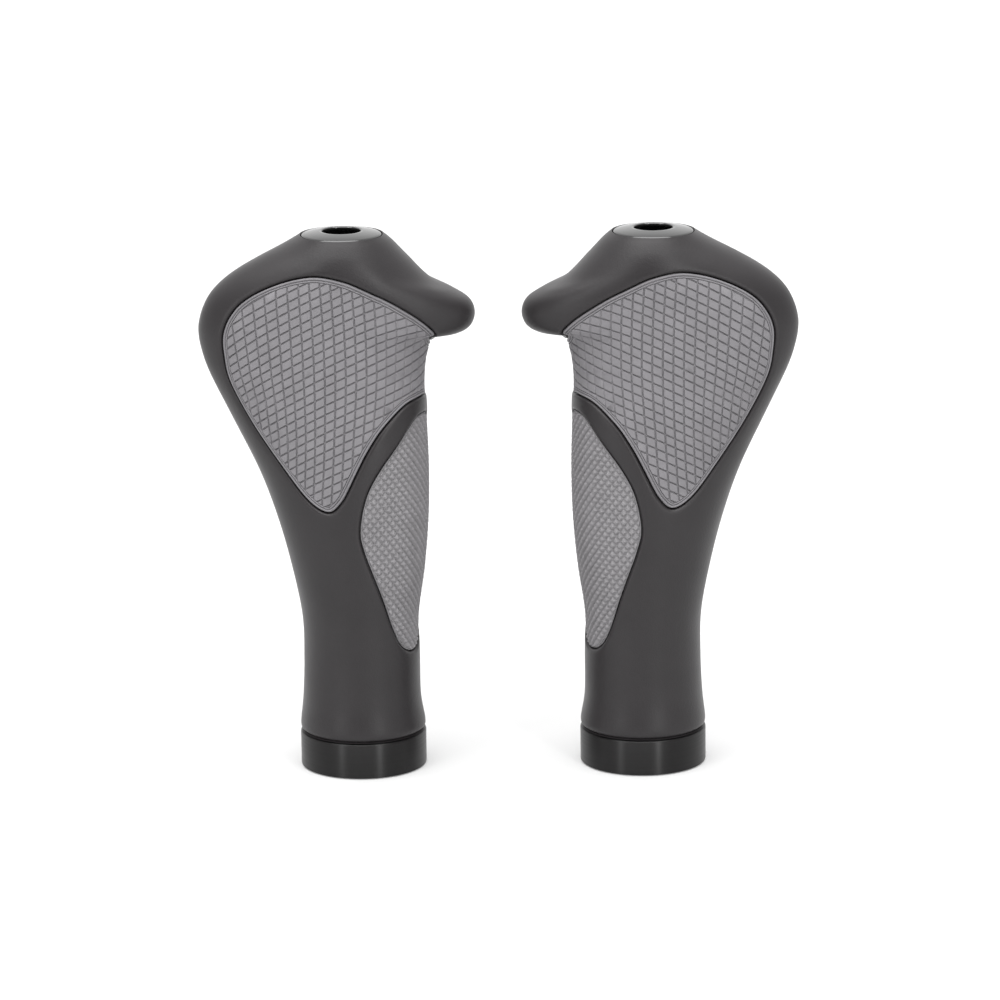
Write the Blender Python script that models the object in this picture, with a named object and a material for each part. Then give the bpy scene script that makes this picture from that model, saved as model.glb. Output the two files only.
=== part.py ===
"""A mirrored pair of bar end grips for a 22.2 mm handlebar, standing upright on their clamp rings.

Each grip is a moulded rubber body on a hard core sleeve, with two soft inlaid pads, a split clamp ring
with its screw, an end bezel with a key hole, and a bolt-drawn wedge plug that grips inside the bar.

Sizes are in millimetres, in a grip's own frame: +Z along the bar towards the outboard end, the wing
towards -X, the horn towards +X, the palm side towards -Y. The left grip is modelled in that frame and
the right one is its mirror image. The world is in metres, with its origin under the pair's centre.
"""

import math

import bmesh
import bpy
from mathutils import Matrix, Vector
from mathutils.geometry import delaunay_2d_cdt

MM = 0.001
GAP = 0.3  # between neighbouring pieces

# The pair
HALF_SPACING = 36.1  # grip axis to the middle of the pair
SEGMENTS = 32  # sides of the larger round pieces
SMALL_SEGMENTS = 20

# Clamp ring and its screw
RING_OUTER = 16.2
RING_INNER = 12.5
RING_HEIGHT = 9.0
RING_CHAMFER = 0.4
BOSS_OUTER = 19.5
BOSS_HALF_ANGLE = 27.0  # degrees, at the boss's crown
BOSS_FLANK = 6.0  # degrees from the crown down to the ring
SLIT_HALF_WIDTH = 1.0
SCREW_Y = 15.9
SCREW_Z = RING_HEIGHT / 2
SCREW_SHANK = 2.0
SCREW_HEAD = 3.5
SCREW_HEAD_X = (-8.3, -4.3)
SCREW_TIP_X = 7.0
SCREW_KEY = 3.0  # across flats

# Core sleeve
CORE_INNER = 11.2
CORE_OUTER = RING_INNER - GAP
CORE_BOTTOM = 0.5
CORE_TOP = 124.0
WALL_UNDERSIDE = 121.5
PILOT_RADIUS = 8.5
PILOT_UNDERSIDE = 120.7
SPIGOT_SLOT_WIDTH = 2.0
SPIGOT_SLOT_TOP = 8.6
STUB_RADIUS = 3.2
STUB_Z = 119.0
STUB_TIP_X = 22.0

# Wedge plug and its bolt, on an axis set off the bar's own
BOLT_X = -3.3
BOLT_HOLE = 2.8
BOLT_SHANK = 2.5
BOLT_HEAD = 4.25
BOLT_HEAD_LENGTH = 5.0
BOLT_LENGTH = 35.0
BOLT_KEY = 4.0  # across flats
WASHER_RADIUS = 5.0
WASHER_THICKNESS = 1.0
PLUG_RADIUS = 8.3
WEDGE_BOTTOM = 88.0
SLANT_Z = 106.0  # height of the slanted joint on the bar axis
SLANT_ANGLE = 35.0

# End bezel
BEZEL_RADIUS = 10.0
BEZEL_INNER = 8.6
BEZEL_HOLE = 4.9
BEZEL_TOP = 139.4
BEZEL_ROOF = 136.9
BEZEL_EDGE = 0.8

# Grip body: cross-sections from the inboard end to the outboard end. Each is four quarter ellipses that
# meet at the wing tip, the horn tip and the two sides: (wing reach, wing z, horn reach, horn z,
# front depth, back depth, side z, centre x).
SECTIONS = (
    (15.3, 9.6, 15.3, 9.6, 15.3, 15.3, 9.6, 0.0),
    (16.1, 11.0, 16.05, 11.0, 16.05, 16.05, 11.0, 0.0),
    (15.4, 18.0, 15.0, 18.0, 15.2, 15.2, 18.0, 0.0),
    (14.95, 28.0, 14.9, 28.0, 14.9, 14.9, 28.0, 0.0),
    (15.15, 39.5, 15.0, 39.5, 15.0, 15.0, 39.5, 0.0),
    (17.4, 52.0, 16.75, 52.0, 15.7, 15.8, 52.0, -0.4),
    (20.7, 65.0, 17.9, 65.0, 16.0, 16.0, 65.0, -1.0),
    (25.2, 78.0, 18.2, 78.0, 16.0, 15.6, 78.0, -1.8),
    (31.8, 92.0, 17.85, 91.0, 15.8, 15.2, 91.5, -2.6),
    (37.3, 103.6, 17.6, 102.0, 15.3, 15.0, 102.8, -3.0),
    (39.4, 110.0, 18.6, 109.0, 15.0, 14.8, 109.2, -3.2),
    (40.05, 114.5, 20.7, 112.7, 14.85, 14.7, 113.0, -3.3),
    (39.6, 118.0, 26.0, 113.4, 14.8, 14.6, 116.0, -3.3),
    (38.5, 121.2, 29.1, 115.2, 14.7, 14.4, 119.0, -3.3),
    (36.8, 124.2, 30.2, 118.5, 14.7, 14.2, 122.0, -3.3),
    (34.0, 127.2, 29.0, 121.8, 14.75, 13.9, 124.8, -3.3),
    (30.0, 130.2, 25.4, 124.2, 14.7, 13.5, 127.6, -3.3),
    (24.6, 133.3, 19.3, 127.2, 14.35, 12.9, 130.8, -3.3),
    (18.6, 136.4, 13.4, 133.2, 13.3, 12.1, 134.3, -3.3),
    (15.5, 138.1, 9.6, 137.2, 11.9, 11.4, 137.1, -3.3),
    (14.0, 139.0, 7.4, 139.0, 10.7, 10.7, 139.0, -3.3),
)
SIDE_Z = 6  # column of a section that holds its side z, by which heights on the body are named
STEM_SECTIONS = 8  # sections that need no extra one between them
WING_RELIEF = 0.2  # share of the depth hollowed out behind the wing at its widest

# Pad outlines on the body: (degrees round from the horn side by way of the palm side, side z). Each
# runs along its outboard edge first, so that it is anticlockwise seen from outside.
PALM_OUTLINE = (
    (0, 110.2),
    (22, 112.0),
    (38, 115.4),
    (49, 118.4),
    (61, 121.6),
    (73, 125.4),
    (88, 129.2),
    (107, 130.4),
    (124, 128.4),
    (137, 123.6),
    (144, 117.2),
    (147, 109.0),
    (149, 101.0),
    (145, 91.5),
    (135, 81.5),
    (122, 73.4),
    (108, 70.2),
    (97, 73.0),
    (87, 79.2),
    (75, 86.2),
    (61, 92.2),
    (41, 97.2),
    (18, 98.6),
    (0, 98.4),
    (-24, 99.6),
    (-44, 102.6),
    (-49, 105.8),
    (-40, 108.4),
    (-20, 109.8),
)
FINGER_OUTLINE = (
    (20, 93.6),
    (34, 91.8),
    (52, 86.0),
    (68, 79.9),
    (79, 73.4),
    (85, 65.0),
    (82, 59.0),
    (74, 52.0),
    (64, 44.8),
    (54, 38.3),
    (43, 33.6),
    (28, 31.6),
    (10, 32.2),
    (-9, 37.0),
    (-20, 46.0),
    (-25, 59.0),
    (-24, 73.0),
    (-17, 85.0),
    (0, 92.6),
)
# (depth of the pad's face, depth of its back) below the body's surface
PALM_DEPTHS = (0.4, 1.8)
FINGER_DEPTHS = (0.3, 1.0)
POCKET_PROUD = 1.0  # how far a pocket's cutter stands out of the surface
OUTLINE_STEPS = 2  # straight edges between two points of an outline
LATTICE_DEGREES = 12
LATTICE_MARGIN = 1.5  # least distance from a lattice point to its outline

MATERIALS = {
    "rubber": ((0.075, 0.072, 0.074), 0.75, 0.0),
    "pad_grey": ((0.245, 0.245, 0.248), 0.85, 0.0),
    "anodised": ((0.028, 0.026, 0.027), 0.30, 0.9),
    "gloss_black": ((0.02, 0.02, 0.02), 0.12, 0.0),
    "nylon": ((0.03, 0.03, 0.03), 0.6, 0.0),
    "steel": ((0.45, 0.45, 0.46), 0.3, 1.0),
    "alloy": ((0.62, 0.62, 0.63), 0.4, 1.0),
}


def spline(before, start, end, after, share):
    """Point of a uniform Catmull-Rom curve between start and end, for tuples of any length."""
    cubic, square = share**3, share**2
    return tuple(
        0.5
        * (
            2 * b
            + (c - a) * share
            + (2 * a - 5 * b + 4 * c - d) * square
            + (3 * b - a - 3 * c + d) * cubic
        )
        for a, b, c, d in zip(before, start, end, after)
    )


def section(station):
    """The eight values of the cross-section at a station, counted in sections from the inboard end."""
    last = len(SECTIONS) - 1
    first = min(int(station), last - 1)
    rows = [SECTIONS[min(max(first + step, 0), last)] for step in (-1, 0, 1, 2)]
    return spline(*rows, station - first)


def station_at(side_z):
    """The station whose side z this is."""
    low, high = 0.0, float(len(SECTIONS) - 1)
    for _ in range(30):
        middle = (low + high) / 2
        if section(middle)[SIDE_Z] < side_z:
            low = middle
        else:
            high = middle
    return (low + high) / 2


def surface(degrees, station):
    """Point of the grip body's skin, degrees round from the horn side by way of the palm side."""
    wing, wing_z, horn, horn_z, front, back, side_z, centre = section(station)
    cosine = math.cos(math.radians(degrees))
    sine = math.sin(math.radians(degrees))
    if cosine > 0:
        x, tip_z = centre + cosine * (horn - centre), horn_z
    else:
        x, tip_z = centre + cosine * (wing + centre), wing_z
    depth = front
    if sine < 0:
        depth = back
        if cosine < 0:
            spread = max(wing - RING_OUTER, 0) / (SECTIONS[11][0] - RING_OUTER)
            depth *= 1 - WING_RELIEF * spread * math.sin(math.radians(2 * degrees)) ** 2
    return Vector((x, -depth * sine, tip_z * cosine**2 + side_z * sine**2))


def skin_normal(degrees, station):
    """Outward normal of the grip body's skin."""
    last = len(SECTIONS) - 1
    along = surface(degrees, min(station + 0.02, last)) - surface(degrees, max(station - 0.02, 0))
    around = surface(degrees + 0.5, station) - surface(degrees - 0.5, station)
    return along.cross(around).normalized()


def ring_of(bm, points):
    return [bm.verts.new(point) for point in points]


def bridge(bm, lower, upper):
    """Quads between two closed rings of equally many vertices."""
    for index, corner in enumerate(lower):
        following = (index + 1) % len(lower)
        bm.faces.new((corner, lower[following], upper[following], upper[index]))


def face_outwards(bm):
    bmesh.ops.recalc_face_normals(bm, faces=bm.faces)
    if bm.calc_volume(signed=True) < 0:
        bmesh.ops.reverse_faces(bm, faces=bm.faces)


def turned(profile, segments, centre_x=0.0):
    """A body of revolution about a vertical axis, from a closed profile of (radius, z) clear of the axis."""
    bm = bmesh.new()
    rings = []
    for radius, z in profile:
        angles = [math.tau * step / segments for step in range(segments)]
        rings.append(
            ring_of(bm, [(centre_x + radius * math.cos(a), radius * math.sin(a), z) for a in angles])
        )
    for index, ring in enumerate(rings):
        bridge(bm, ring, rings[(index + 1) % len(rings)])
    face_outwards(bm)
    return bm


def stacked(levels, segments, centre_x=0.0, turn=0.0):
    """A solid round bar, from (radius, z) levels bottom to top, closed by flat ends."""
    bm = bmesh.new()
    rings = []
    for radius, z in levels:
        angles = [turn + math.tau * step / segments for step in range(segments)]
        rings.append(
            ring_of(bm, [(centre_x + radius * math.cos(a), radius * math.sin(a), z) for a in angles])
        )
    for lower, upper in zip(rings, rings[1:]):
        bridge(bm, lower, upper)
    bm.faces.new(rings[0])
    bm.faces.new(rings[-1])
    face_outwards(bm)
    return bm


def lying(bm, y, z):
    """Lays a body modelled along +Z down along +X, on the line through y and z."""
    lay = Matrix.Translation((0, y, z)) @ Matrix.Rotation(math.radians(90), 4, "Y")
    bmesh.ops.transform(bm, matrix=lay, verts=bm.verts)
    return bm


def block(low, high):
    """A box between two corners."""
    bm = bmesh.new()
    bmesh.ops.create_cube(bm, size=1.0)
    size = [b - a for a, b in zip(low, high)]
    middle = [(a + b) / 2 for a, b in zip(low, high)]
    bmesh.ops.scale(bm, vec=size, verts=bm.verts)
    bmesh.ops.translate(bm, vec=middle, verts=bm.verts)
    return bm


def hexagon(across_flats, low, high, centre_x=0.0):
    """A hexagonal key hole's shape, along +Z."""
    corner = across_flats / 2 / math.cos(math.pi / 6)
    return stacked(((corner, low), (corner, high)), 6, centre_x)


class Grip:
    """One grip's objects: an empty on the bar axis, and the pieces and cutters parented to it."""

    def __init__(self, side, mirror, axis_y):
        self.side = side
        self.mirror = mirror
        self.frame = bpy.data.objects.new(side + "_frame", None)
        self.frame.location = (mirror * -HALF_SPACING * MM, axis_y * MM, 0)
        bpy.context.collection.objects.link(self.frame)

    def add(self, name, bm, origin=(0, 0, 0)):
        """Turns a mesh in the grip's frame into an object whose origin is at that point."""
        bmesh.ops.translate(bm, vec=[-value for value in origin], verts=bm.verts)
        bmesh.ops.scale(bm, vec=(self.mirror * MM, MM, MM), verts=bm.verts)
        if self.mirror < 0:
            bmesh.ops.reverse_faces(bm, faces=bm.faces)
        mesh = bpy.data.meshes.new(self.side + "_" + name)
        bm.to_mesh(mesh)
        bm.free()
        obj = bpy.data.objects.new(self.side + "_" + name, mesh)
        obj.parent = self.frame
        obj.location = (origin[0] * self.mirror * MM, origin[1] * MM, origin[2] * MM)
        bpy.context.collection.objects.link(obj)
        return obj

    def piece(self, name, bm, material, origin=(0, 0, 0), smooth=True):
        obj = self.add(name, bm, origin)
        obj.data.materials.append(bpy.data.materials[material])
        if smooth:
            obj.data.shade_smooth()
            obj.data.set_sharp_from_angle(angle=math.radians(35))
        return obj

    def combine(self, obj, name, bm, operation="DIFFERENCE"):
        """Cuts a hidden tool body out of an object, or joins it on."""
        tool = self.add(name, bm)
        tool.hide_render = True
        tool.display_type = "WIRE"
        modifier = obj.modifiers.new(name, "BOOLEAN")
        modifier.operation = operation
        modifier.solver = "EXACT"
        modifier.object = tool


def make_materials():
    for name, (colour, roughness, metallic) in MATERIALS.items():
        material = bpy.data.materials.new(name)
        material.use_nodes = True
        shader = material.node_tree.nodes["Principled BSDF"]
        shader.inputs["Base Color"].default_value = (*colour, 1.0)
        shader.inputs["Roughness"].default_value = roughness
        shader.inputs["Metallic"].default_value = metallic


def body_stations():
    """Every section, with one more half-way between those past the stem."""
    stations = [float(index) for index in range(STEM_SECTIONS)]
    halves = 2 * (len(SECTIONS) - STEM_SECTIONS)
    return stations + [STEM_SECTIONS - 0.5 + step / 2 for step in range(halves)]


def body_loft():
    """The grip body's outer shape as one closed solid."""
    bm = bmesh.new()
    turns = [360 * step / SEGMENTS for step in range(SEGMENTS)]
    rings = [ring_of(bm, [surface(turn, station) for turn in turns]) for station in body_stations()]
    for lower, upper in zip(rings, rings[1:]):
        bridge(bm, lower, upper)
    bm.faces.new(rings[0])
    bm.faces.new(rings[-1])
    face_outwards(bm)
    return bm


def closed_curve(points, steps):
    """A smooth closed curve through points, with this many steps between two of them."""
    count = len(points)
    curve = []
    for index in range(count):
        around = [points[(index + step) % count] for step in (-1, 0, 1, 2)]
        curve += [spline(*around, step / steps) for step in range(steps)]
    return curve


def flat(degrees, side_z):
    """A place on the skin as millimetres on a plane, near enough for sharing it out in triangles."""
    return Vector((math.radians(degrees) * RING_OUTER, side_z))


def inside(point, outline, margin):
    """Whether a flat point lies within a flat outline, at least the margin away from it."""
    crossings = 0
    for start, end in zip(outline, outline[1:] + outline[:1]):
        edge = end - start
        share = min(max((point - start).dot(edge) / edge.length_squared, 0), 1)
        if (start + edge * share - point).length < margin:
            return False
        if (start.y > point.y) != (end.y > point.y):
            crossings += point.x < start.x + edge.x * (point.y - start.y) / edge.y
    return crossings % 2 == 1


def lattice(outline):
    """Places inside a flat outline, on a fixed net of angles and sections."""
    places = []
    for station in body_stations():
        side_z = section(station)[SIDE_Z]
        for degrees in range(-180, 181, LATTICE_DEGREES):
            if inside(flat(degrees, side_z), outline, LATTICE_MARGIN):
                places.append((degrees, side_z))
    return places


def patch(outline, outer, inner, grow=0.0):
    """A shell that follows the skin within an outline, between two depths below it."""
    rim = closed_curve(outline, OUTLINE_STEPS)
    rim_flat = [flat(*place) for place in rim]
    places = rim + lattice(rim_flat)
    edge_count = len(rim)
    result = delaunay_2d_cdt([flat(*place) for place in places], [], [list(range(edge_count))], 1, 1e-4)
    triangles = result[2]
    skin = [(surface(a, station_at(z)), skin_normal(a, station_at(z))) for a, z in places]
    outwards = []
    for index in range(edge_count):
        run = skin[(index + 1) % edge_count][0] - skin[(index - 1) % edge_count][0]
        outwards.append(run.cross(skin[index][1]).normalized())
    bm = bmesh.new()
    layers = []
    for depth in (outer, inner):
        points = [point - normal * depth for point, normal in skin]
        for index, direction in enumerate(outwards):
            points[index] = points[index] + direction * grow
        layers.append(ring_of(bm, points))
    for layer in layers:
        for triangle in triangles:
            bm.faces.new([layer[corner] for corner in triangle])
    bridge(bm, layers[0][:edge_count], layers[1][:edge_count])
    bmesh.ops.triangulate(bm, faces=bm.faces, quad_method="FIXED")
    face_outwards(bm)
    return bm


def add_grip_body(grip):
    body = grip.piece("grip_body", body_loft(), "rubber")
    bore = stacked(((RING_INNER, 0), (RING_INNER, CORE_TOP + GAP)), SEGMENTS)
    grip.combine(body, "body_bore", bore)
    well = BEZEL_RADIUS + GAP
    recess = stacked(((well, CORE_TOP), (well, BEZEL_TOP + 5)), SEGMENTS, BOLT_X)
    grip.combine(body, "bezel_recess", recess)
    socket = STUB_RADIUS + GAP
    stub_socket = stacked(((socket, CORE_INNER / 2), (socket, STUB_TIP_X + GAP)), SMALL_SEGMENTS)
    grip.combine(body, "stub_socket", lying(stub_socket, 0, STUB_Z))
    for name, outline, depths in (
        ("palm_pocket", PALM_OUTLINE, PALM_DEPTHS),
        ("finger_pocket", FINGER_OUTLINE, FINGER_DEPTHS),
    ):
        grip.combine(body, name, patch(outline, -POCKET_PROUD, depths[1] + GAP + 0.1, GAP))


def add_pads(grip):
    grip.piece("palm_pad", patch(PALM_OUTLINE, *PALM_DEPTHS), "pad_grey")
    grip.piece("finger_pad", patch(FINGER_OUTLINE, *FINGER_DEPTHS), "pad_grey")


def add_core_sleeve(grip):
    """A tube closed at the outboard end but for the bolt's hole, slotted under the clamp ring."""
    profile = (
        (CORE_OUTER, CORE_BOTTOM),
        (CORE_OUTER, CORE_TOP),
        (BOLT_HOLE, CORE_TOP),
        (BOLT_HOLE, PILOT_UNDERSIDE),
        (PILOT_RADIUS, PILOT_UNDERSIDE),
        (PILOT_RADIUS, WALL_UNDERSIDE),
        (CORE_INNER, WALL_UNDERSIDE),
        (CORE_INNER, CORE_BOTTOM),
    )
    tube = turned(profile, SEGMENTS)
    for vert in tube.verts:
        if math.hypot(vert.co.x, vert.co.y) < BOLT_HOLE + 0.01:
            vert.co.x += BOLT_X
    core = grip.piece("core_sleeve", tube, "nylon")
    half = SPIGOT_SLOT_WIDTH / 2
    reach = CORE_OUTER + 1
    across = block((-reach, -half, -1), (reach, half, SPIGOT_SLOT_TOP))
    grip.combine(core, "spigot_slots_across", across)
    along = block((-half, -reach, -1), (half, reach, SPIGOT_SLOT_TOP))
    grip.combine(core, "spigot_slots_along", along)
    root_x = (CORE_INNER + CORE_OUTER) / 2
    stub = stacked(((STUB_RADIUS, root_x), (STUB_RADIUS - 0.4, STUB_TIP_X)), SMALL_SEGMENTS)
    grip.combine(core, "horn_stub", lying(stub, 0, STUB_Z), "UNION")


def arc(radius, start, end, steps):
    """Points on a circle about the grip's axis, from one angle to another in degrees."""
    turns = [math.radians(start + (end - start) * step / steps) for step in range(steps + 1)]
    return [(radius * math.cos(turn), radius * math.sin(turn)) for turn in turns]


def clamp_outline():
    """The split ring seen from above: its inner arc, then its boss and outer arc, with the slit between."""
    inner_slit = math.degrees(math.asin(SLIT_HALF_WIDTH / RING_INNER))
    crown_slit = math.degrees(math.asin(SLIT_HALF_WIDTH / BOSS_OUTER))
    foot = BOSS_HALF_ANGLE + BOSS_FLANK
    return (
        arc(RING_INNER, 90 - inner_slit, 90 + inner_slit - 360, SEGMENTS)
        + arc(BOSS_OUTER, 90 + crown_slit, 90 + BOSS_HALF_ANGLE, 4)
        + arc(RING_OUTER, 90 + foot, 450 - foot, SEGMENTS)
        + arc(BOSS_OUTER, 90 - BOSS_HALF_ANGLE, 90 - crown_slit, 4)
    )


def add_clamp(grip):
    """The split clamp ring, its boss bored for the screw, and the screw."""
    bm = bmesh.new()
    outline = clamp_outline()
    bottom = ring_of(bm, [(x, y, 0) for x, y in outline])
    top = ring_of(bm, [(x, y, RING_HEIGHT) for x, y in outline])
    bridge(bm, bottom, top)
    bm.faces.new(bottom)
    bm.faces.new(top)
    face_outwards(bm)
    rims = [edge for edge in bm.edges if edge.verts[0].co.z == edge.verts[1].co.z]
    bmesh.ops.bevel(bm, geom=rims, offset=RING_CHAMFER, segments=1, affect="EDGES")
    ring = grip.piece("clamp_ring", bm, "anodised")
    hole = SCREW_SHANK + GAP
    bore = stacked(((hole, -BOSS_OUTER), (hole, BOSS_OUTER)), SMALL_SEGMENTS)
    grip.combine(ring, "screw_bore", lying(bore, SCREW_Y, SCREW_Z))
    well = SCREW_HEAD + GAP
    seat = SCREW_HEAD_X[1] + GAP
    counterbore = stacked(((well, -BOSS_OUTER), (well, seat)), SMALL_SEGMENTS)
    grip.combine(ring, "screw_counterbore", lying(counterbore, SCREW_Y, SCREW_Z))

    levels = (
        (SCREW_HEAD - 0.3, SCREW_HEAD_X[0]),
        (SCREW_HEAD, SCREW_HEAD_X[0] + 0.3),
        (SCREW_HEAD, SCREW_HEAD_X[1]),
        (SCREW_SHANK, SCREW_HEAD_X[1]),
        (SCREW_SHANK, SCREW_TIP_X - 0.4),
        (SCREW_SHANK - 0.4, SCREW_TIP_X),
    )
    shape = lying(stacked(levels, SMALL_SEGMENTS), SCREW_Y, SCREW_Z)
    screw = grip.piece("clamp_screw", shape, "steel", (SCREW_HEAD_X[1], SCREW_Y, SCREW_Z))
    key = hexagon(SCREW_KEY, SCREW_HEAD_X[0] - 1, SCREW_HEAD_X[0] + 2.2)
    grip.combine(screw, "screw_key_hole", lying(key, SCREW_Y, SCREW_Z))


def add_bezel(grip):
    profile = (
        (BEZEL_RADIUS, CORE_TOP + GAP),
        (BEZEL_RADIUS, BEZEL_TOP - BEZEL_EDGE),
        (BEZEL_RADIUS - 0.3 * BEZEL_EDGE, BEZEL_TOP - 0.3 * BEZEL_EDGE),
        (BEZEL_RADIUS - BEZEL_EDGE, BEZEL_TOP),
        (BEZEL_HOLE + 0.4, BEZEL_TOP),
        (BEZEL_HOLE, BEZEL_TOP - 0.4),
        (BEZEL_HOLE, BEZEL_ROOF),
        (BEZEL_INNER, BEZEL_ROOF),
        (BEZEL_INNER, CORE_TOP + GAP),
    )
    grip.piece("end_bezel", turned(profile, SEGMENTS, BOLT_X), "gloss_black")


def add_expander(grip):
    """The wedge plug: washer, bolt, the fixed collar above the slant and the drawn wedge below it."""
    washer_base = CORE_TOP + GAP
    washer_top = washer_base + WASHER_THICKNESS
    profile = (
        (WASHER_RADIUS, washer_base),
        (WASHER_RADIUS, washer_top),
        (BOLT_HOLE, washer_top),
        (BOLT_HOLE, washer_base),
    )
    grip.piece("expander_washer", turned(profile, SMALL_SEGMENTS, BOLT_X), "steel")

    head_base = washer_top + GAP
    head_top = head_base + BOLT_HEAD_LENGTH
    levels = (
        (BOLT_SHANK - 0.5, head_base - BOLT_LENGTH),
        (BOLT_SHANK, head_base - BOLT_LENGTH + 0.5),
        (BOLT_SHANK, head_base),
        (BOLT_HEAD, head_base),
        (BOLT_HEAD, head_top - 0.3),
        (BOLT_HEAD - 0.3, head_top),
    )
    shape = stacked(levels, SMALL_SEGMENTS, BOLT_X)
    bolt = grip.piece("expander_bolt", shape, "steel", (BOLT_X, 0, head_base))
    key = hexagon(BOLT_KEY, head_top - 2.6, head_top + 1, BOLT_X)
    grip.combine(bolt, "bolt_key_hole", key)

    collar = plug_half("upper", PILOT_UNDERSIDE - GAP, SLANT_Z + GAP)
    grip.piece("expander_collar", collar, "alloy")
    wedge = plug_half("lower", WEDGE_BOTTOM, SLANT_Z)
    grip.piece("expander_wedge", wedge, "alloy", (BOLT_X, 0, WEDGE_BOTTOM))


def plug_half(half, flat_z, slant_z):
    """One half of the wedge plug: a bored cylinder with one flat end and one slanted end."""
    low, high = (slant_z, flat_z) if half == "upper" else (flat_z, slant_z)
    profile = ((PLUG_RADIUS, low), (PLUG_RADIUS, high), (BOLT_HOLE, high), (BOLT_HOLE, low))
    bm = turned(profile, SEGMENTS)
    slope = math.tan(math.radians(SLANT_ANGLE))
    for vert in bm.verts:
        if math.hypot(vert.co.x, vert.co.y) < BOLT_HOLE + 0.01:
            vert.co.x += BOLT_X
        if abs(vert.co.z - slant_z) < 0.01:
            vert.co.z += slope * vert.co.x
    return bm


def main():
    for obj in list(bpy.data.objects):
        bpy.data.objects.remove(obj)
    make_materials()
    crown_y = math.sqrt(BOSS_OUTER**2 - SLIT_HALF_WIDTH**2)
    axis_y = (RING_OUTER - crown_y) / 2
    for side, mirror in (("left", 1), ("right", -1)):
        grip = Grip(side, mirror, axis_y)
        add_grip_body(grip)
        add_pads(grip)
        add_core_sleeve(grip)
        add_clamp(grip)
        add_bezel(grip)
        add_expander(grip)


main()
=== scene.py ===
"""Bar end grips: the looks of a mirrored pair of ergonomic handlebar grips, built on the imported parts."""

import math

import bmesh
import bpy
import numpy as np
from bpy.props import FloatProperty, FloatVectorProperty, PointerProperty
from mathutils import Matrix, Vector
from mathutils.geometry import delaunay_2d_cdt


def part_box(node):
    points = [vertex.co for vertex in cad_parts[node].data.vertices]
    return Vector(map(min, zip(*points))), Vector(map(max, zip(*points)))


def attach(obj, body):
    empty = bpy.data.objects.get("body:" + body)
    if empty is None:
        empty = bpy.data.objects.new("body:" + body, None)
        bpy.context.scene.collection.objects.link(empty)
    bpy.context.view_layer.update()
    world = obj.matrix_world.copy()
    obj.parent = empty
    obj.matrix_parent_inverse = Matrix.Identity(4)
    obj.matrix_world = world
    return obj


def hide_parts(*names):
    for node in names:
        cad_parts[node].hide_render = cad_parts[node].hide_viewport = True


bl_info = {
    "name": "Bar End Grips",
    "version": (1, 0, 0),
    "blender": (4, 5, 0),
    "location": "View3D > Sidebar > Grips",
    "description": "Builds the visible pieces of a pair of ergonomic bar end grips",
    "category": "Add Mesh",
}

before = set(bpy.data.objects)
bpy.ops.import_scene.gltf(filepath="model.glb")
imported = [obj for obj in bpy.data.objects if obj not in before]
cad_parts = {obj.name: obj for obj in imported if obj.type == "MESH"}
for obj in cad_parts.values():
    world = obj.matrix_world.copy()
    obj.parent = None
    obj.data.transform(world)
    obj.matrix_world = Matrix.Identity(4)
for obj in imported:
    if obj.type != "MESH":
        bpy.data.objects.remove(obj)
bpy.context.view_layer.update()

MM = 0.001
MERGE = 1e-7
ROOT_BODY = "grips"

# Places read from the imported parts, in millimetres, for the left grip: its bar axis and its bolt's axis
RING_LOW, RING_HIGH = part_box("left_clamp_ring")
BOLT_LOW, BOLT_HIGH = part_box("left_expander_bolt")
AXIS_X = (RING_LOW.x + RING_HIGH.x) / 2 / MM
RING_RADIUS = (RING_HIGH.x - RING_LOW.x) / 2 / MM
AXIS_Y = RING_LOW.y / MM + RING_RADIUS
GRIP_AXIS = Vector((AXIS_X, AXIS_Y, 0)) * MM
BOLT_X = (BOLT_LOW.x + BOLT_HIGH.x) / 2 / MM - AXIS_X

# Cross-sections of the grip body in millimetres from the bar axis, inboard end first, as in the CAD:
# (wing reach, wing z, horn reach, horn z, front depth, back depth, side z, centre x)
SECTIONS = np.array(
    (
        (15.3, 9.6, 15.3, 9.6, 15.3, 15.3, 9.6, 0.0),
        (16.1, 11.0, 16.05, 11.0, 16.05, 16.05, 11.0, 0.0),
        (15.4, 18.0, 15.0, 18.0, 15.2, 15.2, 18.0, 0.0),
        (14.95, 28.0, 14.9, 28.0, 14.9, 14.9, 28.0, 0.0),
        (15.15, 39.5, 15.0, 39.5, 15.0, 15.0, 39.5, 0.0),
        (17.4, 52.0, 16.75, 52.0, 15.7, 15.8, 52.0, -0.4),
        (20.7, 65.0, 17.9, 65.0, 16.0, 16.0, 65.0, -1.0),
        (25.2, 78.0, 18.2, 78.0, 16.0, 15.6, 78.0, -1.8),
        (31.8, 92.0, 17.85, 91.0, 15.8, 15.2, 91.5, -2.6),
        (37.3, 103.6, 17.6, 102.0, 15.3, 15.0, 102.8, -3.0),
        (39.4, 110.0, 18.6, 109.0, 15.0, 14.8, 109.2, -3.2),
        (40.05, 114.5, 20.7, 112.7, 14.85, 14.7, 113.0, -3.3),
        (39.6, 118.0, 26.0, 113.4, 14.8, 14.6, 116.0, -3.3),
        (38.5, 121.2, 29.1, 115.2, 14.7, 14.4, 119.0, -3.3),
        (36.8, 124.2, 30.2, 118.5, 14.7, 14.2, 122.0, -3.3),
        (34.0, 127.2, 29.0, 121.8, 14.75, 13.9, 124.8, -3.3),
        (30.0, 130.2, 25.4, 124.2, 14.7, 13.5, 127.6, -3.3),
        (24.6, 133.3, 19.3, 127.2, 14.35, 12.9, 130.8, -3.3),
        (18.6, 136.4, 13.4, 133.2, 13.3, 12.1, 134.3, -3.3),
        (15.5, 138.1, 9.6, 137.2, 11.9, 11.4, 137.1, -3.3),
        (14.0, 139.0, 7.4, 139.0, 10.7, 10.7, 139.0, -3.3),
    )
)
SIDE_Z = 6
WING_RELIEF = 0.2
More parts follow.
